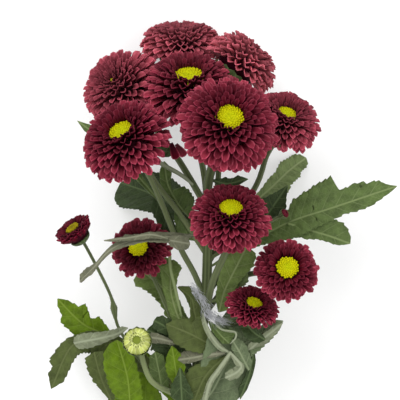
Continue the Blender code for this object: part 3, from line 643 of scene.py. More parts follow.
# %% Stem finish
BARK_DARK = (0.028, 0.040, 0.012)
BARK_LIGHT = (0.068, 0.088, 0.028)
RIDGE = (0.140, 0.170, 0.070)
DOWN = (0.210, 0.250, 0.110)


def stem_finish():
    look = Finish("stem_skin", roughness=0.6, specular=0.25, sheen=0.06)
    around, tone, down = look.attribute("skin")
    colour = look.mix(look.noise(None, 90.0), BARK_DARK, BARK_LIGHT)
    colour = look.mix(look.rise(around, 0.2, 0.9, 0.0, 0.5), colour, RIDGE)
    colour = look.mix(look.times(down, 0.8), colour, DOWN)
    colour = look.shaded(colour, look.between(tone, 0.85, 1.15))
    return look.done(colour, look.noise(None, 1800.0, 3.0), 0.12)


STEM_SKIN = stem_finish()
print("stem finish:", STEM_SKIN.name)

# %% [markdown]
# The stem is woody and ribbed, and its side stalks are thin and bend where they leave it. A tube
# of one radius would look like wire. So a ring of points is extruded along each smooth line,
# turned and narrowed at every step, and carries shallow ribs.

# %% One ribbed tube
RIB_DEPTH = 0.06
print("a rib rises, in shares of the radius:", 2 * RIB_DEPTH)


def ring_place(limb, share):
    """The matrix that carries a unit ring to a share of the way along a limb."""
    point, along = along_line(limb.line, share)
    radius = limb.radius_at(share)
    across = along.cross(UP).normalized()
    turn = Matrix((across, across.cross(along), along)).transposed().to_4x4()
    return Matrix.Translation(point) @ turn @ Matrix.Diagonal((radius, radius, radius, 1))


def add_tube(shape, limb, sides, rings, tone):
    """Extrudes a ribbed ring along a limb, in a number of sides and rings."""
    mark = shape.verts.layers.float_vector["skin"]
    before = ring_place(limb, 0)
    ring = bmesh.ops.create_circle(shape, cap_ends=True, segments=sides, radius=1)["verts"]
    for i, vertex in enumerate(ring):
        vertex.co *= 1 + RIB_DEPTH * (1 if i % 2 else -1)
        vertex[mark] = (i % 2, tone, limb.down)
    bmesh.ops.transform(shape, matrix=before, verts=ring)
    edges = list(ring[0].link_faces[0].edges)
    skin = list(ring[0].link_faces)
    for step in range(1, rings + 1):
        after = ring_place(limb, step / rings)
        grown = bmesh.ops.extrude_edge_only(shape, edges=edges)["geom"]
        moved = [part for part in grown if isinstance(part, bmesh.types.BMVert)]
        skin += [part for part in grown if isinstance(part, bmesh.types.BMFace)]
        bmesh.ops.transform(shape, matrix=after @ before.inverted(), verts=moved)
        fresh = set(moved)
        rim = [part for part in grown if isinstance(part, bmesh.types.BMEdge)]
        edges = [edge for edge in rim if fresh.issuperset(edge.verts)]
        before = after
    skin += bmesh.ops.edgeloop_fill(shape, edges=edges)["faces"]
    bmesh.ops.recalc_face_normals(shape, faces=skin)


# %% [markdown]
# Every stalk leaves the stem low down and climbs to the calyx of its head. The routes are the
# frame's own. Three of them, to the left, upper and top heads, are bent a little further, to lie
# where the photograph shows them, and one leaf has a stalk besides. A small bract swells the
# half-open head's stalk half way up.

# %% Routes of stem and stalks
class Limb:
    """A stem or stalk: its route in mm, its radius, what is left of it at the top, and its down."""

    def __init__(self, route, radius=1.5, taper=0.85, swelling=None, head=None, down=0.0):
        if head:
            route = (*route, head.foot(), head.foot() + head.axis)
        self.line = smooth_line(route)
        self.radius = radius
        self.taper = taper
        self.swelling = swelling
        self.down = down

    def radius_at(self, share):
        radius = self.radius * (1 + (self.taper - 1) * share)
        if self.swelling:
            place, extra, spread = self.swelling
            radius += extra * math.exp(-(((share - place) / spread) ** 2))
        return radius


class Bud:
    """A closed bud: its centre, where it faces and its radius in mm."""

    def __init__(self, centre, axis, radius):
        self.axis = Vector(axis).normalized()
        self.radius = radius
        self.place = standing(centre, self.axis)

    def foot(self):
        return self.place @ Vector((0, 0, -1.4 * self.radius))


BUDS = {
    "green": Bud((-31.3, -70.6, 62), (-0.05, 0.25, 0.97), 6.9),
    "red": Bud((42.5, -6.8, 53.6), (0.75, 0.50, 0.45), 2.3),
}
LIMBS = {
    "stem": Limb(
        ((-6.0, -232.0, 2.85), (-6.5, -205.0, 2.8), (-6.0, -175.0, 5.5), (-5.0, -140.0, 15.0),
         (-3.0, -100.0, 29.0), (0.5, -70.0, 38.5), (3.0, -50.0, 44.5), (3.8, -25.0, 51.0),
         (4.0, -5.0, 57.0)),
        radius=3.3, taper=0.72),
    "main": Limb(((4, -8, 56.5), (4, 8, 63), (8, 22, 71)), 2.4, head=HEADS["main"]),
    "upper": Limb(((4, -12, 54), (2.4, 10, 49), (-1.8, 30, 43)), head=HEADS["upper"]),
    "left": Limb(
        ((1.5, -48, 45.5), (-3, -37, 48.5), (-9, -26, 51.5), (-14.5, -13.5, 55.5), (-19, -2, 60),
         (-25, 11.5, 67)), head=HEADS["left"],
        down=0.35),
    "middle": Limb(((2.5, -62, 40.5), (6, -42, 59), (12.5, -26, 71)), 1.8, head=HEADS["middle"], down=0.3),
    "left_top": Limb(
        ((3.5, -4, 55), (-4, 9, 47), (-11, 20.5, 40), (-18.8, 31, 35), (-29, 45, 26)), 1.7,
        head=HEADS["left_top"]),
    "right": Limb(
        ((4, -32, 49), (16, -12, 49), (28.5, 7.5, 50), (33.7, 22.6, 52)), head=HEADS["right"]),
    "top": Limb(((3.8, -16, 53), (2.6, 8, 42), (-1, 32, 30), (-7.5, 58, 19)), head=HEADS["top"]),
    "right_top": Limb(
        ((3.8, -20, 52), (9, 8, 42), (10, 36, 32), (11.5, 55, 30)), head=HEADS["right_top"]),
    "right_low": Limb(
        ((2.5, -58, 42), (12, -46, 41), (24, -38, 44), (36, -37, 54)), head=HEADS["right_low"]),
    "lowest": Limb(((-1, -86, 33.5), (9, -72, 38), (18, -62, 45)), head=HEADS["lowest"]),
    "left_low": Limb(
        ((-3.5, -112, 25), (-10, -74, 36), (-19, -50, 40), (-25.5, -35, 42)), 1.15, head=HEADS["left_low"]),
    "half_open": Limb(
        ((-3.5, -115, 24), (-11, -104, 33), (-26, -88, 39), (-41, -66, 42), (-45, -50, 42),
         (-52.5, -34, 43)),
        0.72, 1.15, swelling=(0.52, 1.15, 0.026), head=HEADS["half_open"]),
    "bud_green": Limb(
        ((-3.5, -110, 25.5), (-9, -100, 31), (-16, -97.5, 41), (-25.5, -90, 51)), head=BUDS["green"],
        down=0.8),
    "bud_red": Limb(((4, -30, 50), (24, -18, 55), (36, -10.5, 53.5)), 1.0, head=BUDS["red"]),
    "leaf_stalk": Limb(
        ((3, -27, 50.5), (-11.4, -5.5, 50.5), (-20, 5.5, 51), (-29, 18, 53), (-41, 25, 53)), 1.4, down=0.5),
}
for limb_name, limb in LIMBS.items():
    print(limb_name, "stalk:", round(line_length(limb.line)), "mm long")

# %% [markdown]
# Stem, stalks and the green cup under each head grow as one body, so they stay one piece. The cup
# is a turned solid. Fine down covers the skin of a chrysanthemum. Tiny three-sided spikes, spread
# by chance along the limbs, soften its edges as the down does.

# %% Stem with its stalks and down
CUP_PROFILE = ((0.02, -0.30), (0.10, -0.27), (0.24, -0.20), (0.34, -0.09), (0.33, 0.0), (0.05, 0.05))
HAIRS_PER_MM = 4.0
HAIR_RADIUS = 0.05


def add_spike(shape, foot, out, length, radius):
    """A three-sided spike from its foot, along the unit vector out."""
    return bmesh.ops.create_cone(
        shape, cap_ends=False, segments=3, radius1=radius, radius2=0.0, depth=length,
        matrix=standing(foot + out * (length / 2), out))["verts"]


def add_hair(shape, limb, draw, mark):
    """One hair standing out from a limb's skin."""
    share = draw.random()
    angle = draw.uniform(0, 2 * math.pi)
    stand = ring_place(limb, share) @ Matrix.Rotation(angle, 4, "Z")
    foot = stand @ Vector((0.97, 0, 0))
    out = (stand.to_3x3() @ Vector((1, draw.uniform(-0.5, 0.5), draw.uniform(-0.2, 0.9)))).normalized()
    for vertex in add_spike(shape, foot, out, draw.uniform(0.35, 1.1), HAIR_RADIUS):
        vertex[mark] = (1.0, 1.0, 0.6)


def stem_piece():
    """Makes stem, stalks, cups and down as one piece, and counts the hairs."""
    draw = random.Random("stem skin")
    shape = bmesh.new()
    mark = shape.verts.layers.float_vector.new("skin")
    for name, limb in LIMBS.items():
        sides, spacing = (16, 3) if name == "stem" else (10, 6)
        add_tube(shape, limb, sides, 4 * len(limb.line) // spacing, draw.random())
    for head in HEADS.values():
        for vertex in add_turned(shape, enlarged(CUP_PROFILE, head.radius), head.seat, 16):
            vertex[mark] = (0.4, 0.5, 0.2)
    hairs = 0
    for limb in LIMBS.values():
        for _ in range(round(line_length(limb.line) * HAIRS_PER_MM)):
            add_hair(shape, limb, draw, mark)
            hairs += 1
    finish_piece("stem_fine", shape, [STEM_SKIN], ["stem"])
    return hairs


print("hairs:", stem_piece())

# %% [markdown]
# Scales called bracts wrap the cup of every head and bud, in overlapping rings. They are narrow,
# pointed and pale at the edge. They are made as the petals are, from the same small grid, with
# another path and another finish.

# %% Bracts
BRACT_RINGS = (
    ((0.10, -0.29), (0.40, -0.26), (0.40, -0.02), 12, 0.0),
    ((0.16, -0.26), (0.50, -0.20), (0.52, 0.04), 14, 0.5),
)
BUD_BRACT_RINGS = (
    ((0.20, -1.38), (0.80, -1.10), (0.90, -0.25), 11, 0.0),
    ((0.22, -1.35), (1.00, -1.00), (1.06, 0.10), 13, 0.5),
)
BRACT_ROOT = (0.045, 0.070, 0.015)
BRACT_GREEN = (0.055, 0.085, 0.022)
BRACT_RIM = (0.16, 0.20, 0.075)


def bract_finish():
    look = Finish("bract_face", roughness=0.6, specular=0.25, sheen=0.05)
    across, along, tone = look.attribute("petal")
    edge = look.rise(look.math("ABSOLUTE", across), 0.45, 1.0)
    colour = look.mix(look.rise(along, 0.0, 0.9), BRACT_ROOT, BRACT_GREEN)
    colour = look.mix(edge, colour, BRACT_RIM)
    colour = look.shaded(colour, look.between(tone, 0.75, 1.2))
    return look.done(colour, look.noise(None, 1500.0), 0.08)


BRACT_FACE = bract_finish()


def bracts_of(name, place, radius, rings):
    """Makes the bracts that stand round a cup, at evenly spread angles."""
    draw = random.Random(f"{name} bracts")
    shape = marked_shape()
    for root, bend, tip, full, start in rings:
        for i in range(full):
            angle = 2 * math.pi * (i + start + draw.uniform(-0.12, 0.12)) / full
            grow = draw.uniform(0.9, 1.1)
            path = enlarged((root, bend, (tip[0], tip[1] * grow)), radius)
            half = 1.25 * math.pi * 0.5 * (bend[0] + tip[0]) * radius / full
            add_petal(
                shape, place, angle, path, half, cup=0.25, curl=draw.uniform(-3.0, 1.0),
                marks=(draw.random(), 0, 0), twist=draw.uniform(-0.15, 0.15))
    finish_piece(f"bracts_{name}", shape, [BRACT_FACE, BRACT_FACE], [], PETAL_WALL)


for head_name, head in HEADS.items():
    bracts_of(head_name, head.seat, head.radius, BRACT_RINGS)
for bud_name, bud in BUDS.items():
    bracts_of(f"bud_{bud_name}", bud.place, bud.radius, BUD_BRACT_RINGS)
print("bract rings:", len(HEADS) + len(BUDS))

# %% [markdown]
# Two buds are still closed. Their petals are narrow, lie against each other like fingers over a
# ball and turn in at the top, where a small dimple stays. The same petal grid makes them, on a
# path that bulges out and comes back in. The large bud is pale green, the small one dark red.

# %% Buds
BUD_RINGS = (
    ((0.45, -0.45), (1.18, 0.00), (0.30, 0.62), 15),
    ((0.60, -0.50), (1.36, -0.05), (0.46, 0.66), 17),
)
BUD_PROFILE = (
    (0.05, -0.7), (0.5, -0.55), (0.82, -0.2), (0.88, 0.1), (0.66, 0.38), (0.35, 0.46), (0.04, 0.40))
# Each bud's three colours go to the petal finish: painted shade at the root, the body, and a painted
# highlight at the rim.
BUD_COLOURS = {
    "green": ((0.20, 0.26, 0.03), (0.50, 0.55, 0.15), (0.66, 0.70, 0.30)),
    "red": (SHADED_MAROON, (0.09, 0.008, 0.016), (0.20, 0.03, 0.045)),
}


def bud_of(name, bud):
    """Makes a closed bud: a turned core, and petals that lie on it."""
    draw = random.Random(f"{name} bud")
    surface = petal_finish(f"{name}_bud_petal", *BUD_COLOURS[name])
    shape = marked_shape()
    mark = shape.verts.layers.float_vector["petal"]
    for vertex in add_turned(shape, enlarged(BUD_PROFILE, bud.radius), bud.place):
        vertex[mark] = (0, 0.3, 0.3)
    for root, bend, tip, full in BUD_RINGS:
        for i in range(full):
            angle = 2 * math.pi * (i + draw.uniform(-0.12, 0.12)) / full
            path = enlarged((root, bend, tip), bud.radius)
            add_petal(
                shape, bud.place, angle, path, 1.1 * math.pi * 0.8 * bud.radius / full, cup=-0.35,
                curl=0.0, marks=(draw.random(), 0, 0), twist=draw.uniform(-0.1, 0.1))
    finish_piece(
        f"bud_{name}_fine", shape, [surface, surface], [f"bud_{name}"], PETAL_WALL)


for bud_name, bud in BUDS.items():
    bud_of(bud_name, bud)
print("buds:", len(BUDS))

# %% [markdown]
# Chrysanthemum leaves are deeply lobed and toothed, with a groove along the midrib, side veins
# that run out into the lobes, and a blade that swells between them. The upper side is green, the
# lower one grey with down. Each point of a blade stores its distance from the midrib, its
# distance along it and its place between two side veins, and the finish draws the veins there.

# %% Leaf finishes
LEAF_COLOURS = {
    # Painted shade: the mid green darkened for leaves that lie in the shade of heads and other leaves.
    "dark": ((0.028, 0.046, 0.014), (0.080, 0.115, 0.045), 0.5),
    "mid": ((0.074, 0.112, 0.030), (0.160, 0.210, 0.080), 0.5),
    # Painted light: a yellow-green for leaves that the light shines through.
    "bright": ((0.088, 0.150, 0.003), (0.150, 0.220, 0.025), 0.5),
    "fresh": ((0.120, 0.172, 0.044), (0.215, 0.265, 0.105), 0.5),
    "pale": ((0.125, 0.170, 0.060), (0.220, 0.270, 0.120), 0.6),
    "dusty": ((0.100, 0.132, 0.066), (0.200, 0.240, 0.135), 0.6),
    "olive": ((0.064, 0.084, 0.022), (0.098, 0.120, 0.040), 0.6),
    "grey": ((0.112, 0.115, 0.072), (0.210, 0.215, 0.145), 0.65),
    "underside": ((0.178, 0.200, 0.122), (0.27, 0.30, 0.20), 0.75),
}


def leaf_finish(name, body, vein, roughness):
    look = Finish(name, roughness=roughness, specular=0.14, sheen=0.01)
    out, along, place = look.attribute("blade")
    reach = look.math("ABSOLUTE", out)
    spot = look.vector(look.times(out, 0.1), look.times(along, 0.1), 0.0)
    mottle = look.noise(spot, 2.2, 3.0)
    colour = look.shaded(body, look.rise(mottle, 0.25, 0.75, 0.72, 1.28))
    off_vein = look.math("ABSOLUTE", look.math("SUBTRACT", look.math("FRACT", place), 0.5))
    side_vein = look.times(look.rise(off_vein, 0.0, 0.07, 1.0, 0.0), look.rise(reach, 0.0, 9.0, 0.75, 0.25))
    cells = look.tree.nodes.new("ShaderNodeTexVoronoi")
    cells.feature = "DISTANCE_TO_EDGE"
    cells.inputs["Scale"].default_value = 5.0
    look.fill(cells.inputs["Vector"], spot)
    net = look.rise(cells.outputs["Distance"], 0.0, 0.09, 0.28, 0.0)
    midrib = look.rise(reach, 0.25, 0.8, 1.0, 0.0)
    lines = look.math("MAXIMUM", midrib, look.math("MAXIMUM", side_vein, net))
    colour = look.mix(lines, colour, vein)
    height = look.math("SUBTRACT", 1.0, look.times(lines, 0.8))
    return look.done(colour, height, 0.25)


LEAF_LOOKS = {look: leaf_finish(f"leaf_{look}", *colours) for look, colours in LEAF_COLOURS.items()}
print("leaf finishes:", len(LEAF_LOOKS))

# %% [markdown]
# The eighteen leaves are the frame's, some with a finer outline: the limb that each grows on, its
# midrib, and both edges as (place along the midrib, distance out, distance on towards the tip).
# Each outline is a few points, picked on the photograph and turned into millimetres. Fold
# and wave give a blade its own bearing: how deep it is folded, and how much its edge waves.

# %% The leaves
class Leaf:
    """One blade: its limb and share along it, midrib, edges, finish, facing and bearing."""

    def __init__(self, limb, share, midrib, left, right, look, face=(0, 0, 1), fold=0.14, wave=1.0):
        self.limb = LIMBS.get(limb)
        self.share = share
        self.midrib = [Vector(point) for point in midrib]
        self.edges = (left, right)
        self.face = Vector(face).normalized()
        self.look = look
        self.fold = fold
        self.wave = wave

    def whole_midrib(self):
        """The midrib to its tip, from its root in the limb's skin where it grows on a limb."""
        if not self.limb:
            return smooth_line(self.midrib, 12)
        centre, along = along_line(self.limb.line, self.share)
        away = self.midrib[0] - centre
        away = (away - along * away.dot(along)).normalized()
        return smooth_line([centre + away * (self.limb.radius_at(self.share) * 0.8), *self.midrib], 12)


LEAVES = {
    "right_large": Leaf(
        "stem", 0.83, ((25.4, -21.9, 42), (45.7, -11.2, 44), (66.9, -4.1, 46), (100.5, 7.1, 40)),
        ((0.12, 1.2), (0.3, 3), (0.45, 5), (0.52, 6.5), (0.56, 10.5), (0.6, 10.5), (0.63, 12), (0.66, 12),
         (0.69, 13.5), (0.74, 14.4), (0.77, 15), (0.79, 16), (0.795, 11.5), (0.8, 8), (0.82, 7.5),
         (0.857, 8.2), (0.895, 7.6), (0.902, 6.3), (0.945, 5.8), (0.952, 4.1), (0.98, 1.4)),
        ((0.12, 1.2), (0.3, 4), (0.4, 7), (0.5, 9), (0.58, 8.5), (0.66, 7), (0.75, 6), (0.79, 5),
         (0.83, 5.9), (0.88, 5.9), (0.93, 3.8), (0.97, 2)), "mid", (0, 0.2, 1)),
    "right_back": Leaf(
        "stem", 0.84, ((20, -9, 27), (36.5, 5.7, 15), (47.4, 15.8, 6), (56.2, 22.3, 0.2)),
        ((0.2, 1.2, 0), (0.4, 2.4, 0), (0.52, 4.6, 3), (0.60, 4.4, 2), (0.70, 6.4, 2), (0.80, 5.5, 1.5),
         (0.88, 5.5, 1.5), (0.95, 3.5, 0.5)),
        ((0.2, 1.5, 0), (0.4, 5.5, 1), (0.54, 8, 4), (0.62, 6.2, 1), (0.74, 6.2, 3), (0.82, 4.4, 1),
         (0.91, 4.2, 1), (0.96, 3, 0.5)), "pale", (0.2, 0.3, 1)),
    "right_dark": Leaf(
        "stem", 0.76, ((20, -24, 37), (34, -8, 36), (45, 7.5, 33)),
        ((0.3, 3, 2), (0.48, 8, 5), (0.58, 6, 3), (0.7, 7, 4), (0.84, 3.5, 2)),
        ((0.3, 3, 2), (0.48, 9, 5), (0.58, 7, 3), (0.7, 8, 4), (0.84, 4, 2)), "dark", (0, 0.2, 1)),
    "under_main": Leaf(
        "main", 0.28, ((14, 8, 61), (24, 10.5, 60)),
        ((0.35, 3.5, 1), (0.55, 2.5, 1), (0.7, 3, 2)), ((0.35, 2.5, 1), (0.7, 2, 1)), "dark", (0, 0.5, 1)),
    "left_dark": Leaf(
        "stem", 0.86, ((-6, -12, 31), (-16, -2, 20), (-28, 4, 9), (-42, 9, 0.2)),
        ((0.12, 1.5), (0.25, 4.5), (0.35, 6.7), (0.48, 8.8), (0.61, 11.8), (0.725, 13.8), (0.82, 14.6),
         (0.88, 14.0), (0.94, 11.8), (0.975, 8.5)),
        ((0.15, 2), (0.3, 6), (0.4, 9), (0.51, 10.8), (0.66, 13.6), (0.735, 13.6), (0.8, 12.5),
         (0.87, 9.6), (0.94, 5.5), (0.975, 3.5)), "dark", (0.1, 0.5, 1)),
    "stems_back": Leaf(
        "stem", 0.92, ((-5.5, -9, 43), (-11, -2.5, 39), (-16.5, 7.5, 34), (-18.5, 20, 31)),
        ((0.364, 0), (0.453, 2.8), (0.563, 0.4), (0.639, 2.4), (0.719, 4), (0.811, 3.3), (0.915, 2.8)),
        ((0.291, 4.8), (0.405, 8.1), (0.582, 8.7), (0.661, 7.5), (0.675, 3.2), (0.685, 1.1), (0.765, 1.7),
         (0.851, 3), (0.922, 3.2)), "mid", (0, 0.3, 1)),
    "left_long": Leaf(
        "stem", 0.92, ((-10.5, -18.5, 64), (-27, -19, 68), (-43, -24, 68), (-53, -34, 65), (-60, -41, 61)),
        ((0.15, 1.5, 0), (0.28, 4, 3), (0.36, 3.8, 1), (0.46, 4.8, 2), (0.54, 3.4, 0), (0.62, 1.6, 0),
         (0.72, 1.1, 0), (0.78, 1.5, 0), (0.82, 3.1, 0.5), (0.88, 3.6, 1), (0.95, 3, 0.5)),
        ((0.15, 1.5, 0), (0.28, 4, 3), (0.38, 3.6, 1), (0.48, 4.2, 2), (0.57, 2, 0), (0.66, 1.2, 0),
         (0.75, 1.2, 0), (0.79, 2.6, 0.5), (0.85, 4, 1), (0.91, 3.4, 1), (0.96, 2.6, 0)),
        "grey", (0.1, 0.75, 0.65), wave=2.2),
    "behind_low": Leaf(
        "stem", 0.64, ((-9, -60, 31), (-19, -46, 29), (-31, -36, 28)),
        ((0.364, 6.4), (0.445, 7.3), (0.488, 6.2), (0.595, 6.4), (0.717, 6.7), (0.844, 7.2), (0.938, 8.2),
         (0.98, 6.2)),
        ((0.296, 1.8), (0.432, 3), (0.525, 3.8), (0.613, 6.2), (0.667, 10.3), (0.694, 14.4), (0.745, 15.4),
         (0.833, 13.7), (0.963, 10.5)), "fresh", (0, 0.3, 1)),
    "low_left_bright": Leaf(
        "stem", 0.47, ((-11, -96, 20), (-25.8, -82.6, 24), (-45.3, -71, 27), (-60.7, -63.5, 28),
         (-73.6, -51, 27)),
        ((0.09, 0.7, 0), (0.17, 1.2, 0), (0.25, 2, 1), (0.45, 7, 2.5), (0.58, 9, 1.5), (0.70, 9.5, 4.5),
         (0.78, 7, 3.5), (0.84, 7, 4.5), (0.90, 4, 1.5), (0.96, 2.5, 1)),
        ((0.09, 0.7, 0), (0.17, 1.2, 0), (0.25, 1.5, 1), (0.45, 2.5, 3), (0.52, 2, 1), (0.60, 2.6, 2),
         (0.67, 7.5, 4.5), (0.72, 4.5, 4), (0.79, 9, 7), (0.84, 5.5, 4), (0.91, 4.5, 1), (0.96, 3, 0)),
        "bright", (0, -0.1, 1)),
    "low_left_dark": Leaf(
        "stem", 0.44, ((-12, -100, 25), (-26.7, -85.2, 30), (-47, -72, 36), (-64.9, -74.1, 35),
         (-76.9, -97.5, 26)),
        ((0.2, 2, 0), (0.45, 6, 3.5), (0.60, 7.5, 2.5), (0.70, 7.5, 2.5), (0.78, 5.5, 4), (0.86, 5, 4),
         (0.94, 4.5, 1.5)),
        ((0.2, 2, 1), (0.45, 4, 5), (0.60, 4, 7), (0.68, 3.5, 9), (0.76, 5, 8), (0.82, 6.5, 9.5),
         (0.87, 3.5, 5.5), (0.92, 4.5, 3), (0.96, 3, 1)), "olive", (-0.1, 0, 1)),
    "low_bright": Leaf(
        "stem", 0.40, ((-23.5, -114, 13), (-37.8, -99.8, 9), (-48.4, -87.3, 8), (-54.2, -75.7, 8)),
        ((0.15, 4, 0), (0.32, 11, 3), (0.42, 12, 8), (0.5, 9, 5.5), (0.62, 11, 7), (0.72, 9, 5),
         (0.84, 7, 4.5), (0.94, 3.5, 2)),
        ((0.15, 4, 0), (0.30, 11, 2), (0.42, 16, 4), (0.52, 12, 1), (0.64, 16, 3), (0.74, 11, 2),
         (0.86, 8, 4), (0.95, 4, 2)), "bright"),
    "low_back": Leaf(
        "stem", 0.42, ((-10, -108, 14), (-15, -92, 14), (-17, -80, 16), (-18, -68, 18)),
        ((0.2, 3, 1), (0.42, 9, 4), (0.52, 7, 2), (0.68, 8, 4), (0.78, 5, 2), (0.9, 3, 1)),
        ((0.2, 3, 1), (0.42, 8, 4), (0.52, 6, 2), (0.68, 7, 4), (0.78, 5, 2), (0.9, 3, 1)),
        "bright", (0, 0.1, 1)),
    "low_middle": Leaf(
        "stem", 0.54, ((-11, -80, 40), (-19, -70, 42), (-27, -66, 42)),
        ((0.25, 4, 1), (0.42, 9, 4), (0.52, 7, 1), (0.64, 9, 3), (0.76, 5.5, 1), (0.88, 5, 2)),
        ((0.22, 5, 2), (0.36, 9, 6), (0.5, 7.5, 2), (0.62, 8, 4), (0.74, 4.5, 1), (0.88, 4, 2)), "dark"),
    "stem_right": Leaf(
        "stem", 0.74, ((10, -49, 45.5), (13.5, -38, 46), (19, -28.5, 46)),
        ((0.32, 1, 1), (0.44, 3, 2), (0.58, 3.5, 2), (0.75, 3, 2), (0.9, 1.5, 1)),
        ((0.30, 1.5, 1), (0.38, 6, 3), (0.46, 10.5, 4), (0.56, 11.5, 5), (0.7, 11, 3), (0.82, 8, 2),
         (0.93, 4, 1)), "pale", (-0.15, 0.1, 1)),
    "woolly": Leaf(
        "stem", 0.60, ((-2, -70, 43.5), (-2.5, -60, 50), (-4.5, -49, 53.5)),
        ((0.15, 1, 0), (0.3, 2, 1), (0.5, 3.5, 2), (0.75, 2.5, 1)),
        ((0.15, 1, 0), (0.3, 2, 1), (0.5, 3.5, 2), (0.75, 2.5, 1)), "olive", (0.5, 0.2, 1)),
    "low_right": Leaf(
        "stem", 0.48, ((6.1, -97.7, 42), (16.2, -78.4, 49), (27.8, -69.3, 49), (42.1, -61.3, 46)),
        ((0.15, 5, 0), (0.28, 12, 7), (0.38, 17, 14), (0.46, 20, 10.5), (0.52, 13, 3), (0.60, 8, 3),
         (0.70, 4, 1), (0.82, 3.5, 1.5), (0.93, 2.5, 1)),
        ((0.10, 5, 0), (0.22, 12, 4), (0.34, 13.5, 3.5), (0.44, 12, 5.5), (0.52, 7, 4), (0.66, 7, 4),
         (0.80, 5.5, 3), (0.92, 3.5, 1)), "dusty", (0.3, 0.3, 1), fold=0.3, wave=1.8),
    "left_tip": Leaf(
        "left", 0.58, ((-44, 26, 54), (-62, 40, 48)),
        ((0.3, 2.5, 1), (0.6, 3.5, 2), (0.85, 2, 1)), ((0.3, 2.5, 1), (0.6, 3.5, 2), (0.85, 2, 1)),
        "mid", (0, 0.3, 1)),
    "under_left": Leaf(
        "left_top", 0.45, ((-17.5, 24.5, 40.5), (-24, 27.5, 42)),
        ((0.35, 3, 1), (0.7, 2.5, 1)), ((0.35, 3, 1), (0.7, 2.5, 1)), "dark", (0.3, 0.3, 1)),
}
print("leaves:", len(LEAVES))

# %% [markdown]
# At the foot of the spray the leaves lap over the stem, cross each other and curl, so that pale
# undersides lie among dark and bright patches. The frame keeps their mass as a few large leaves.
# Thirty-one smaller laps, folds and curled edges lie on them and between the stalks, in the same
# form but rooted nowhere.

# %% Laps, folds and curled edges
def lap(*outline, **bearing):
    """A blade that is rooted nowhere."""
    return Leaf(None, 0, *outline, **bearing)


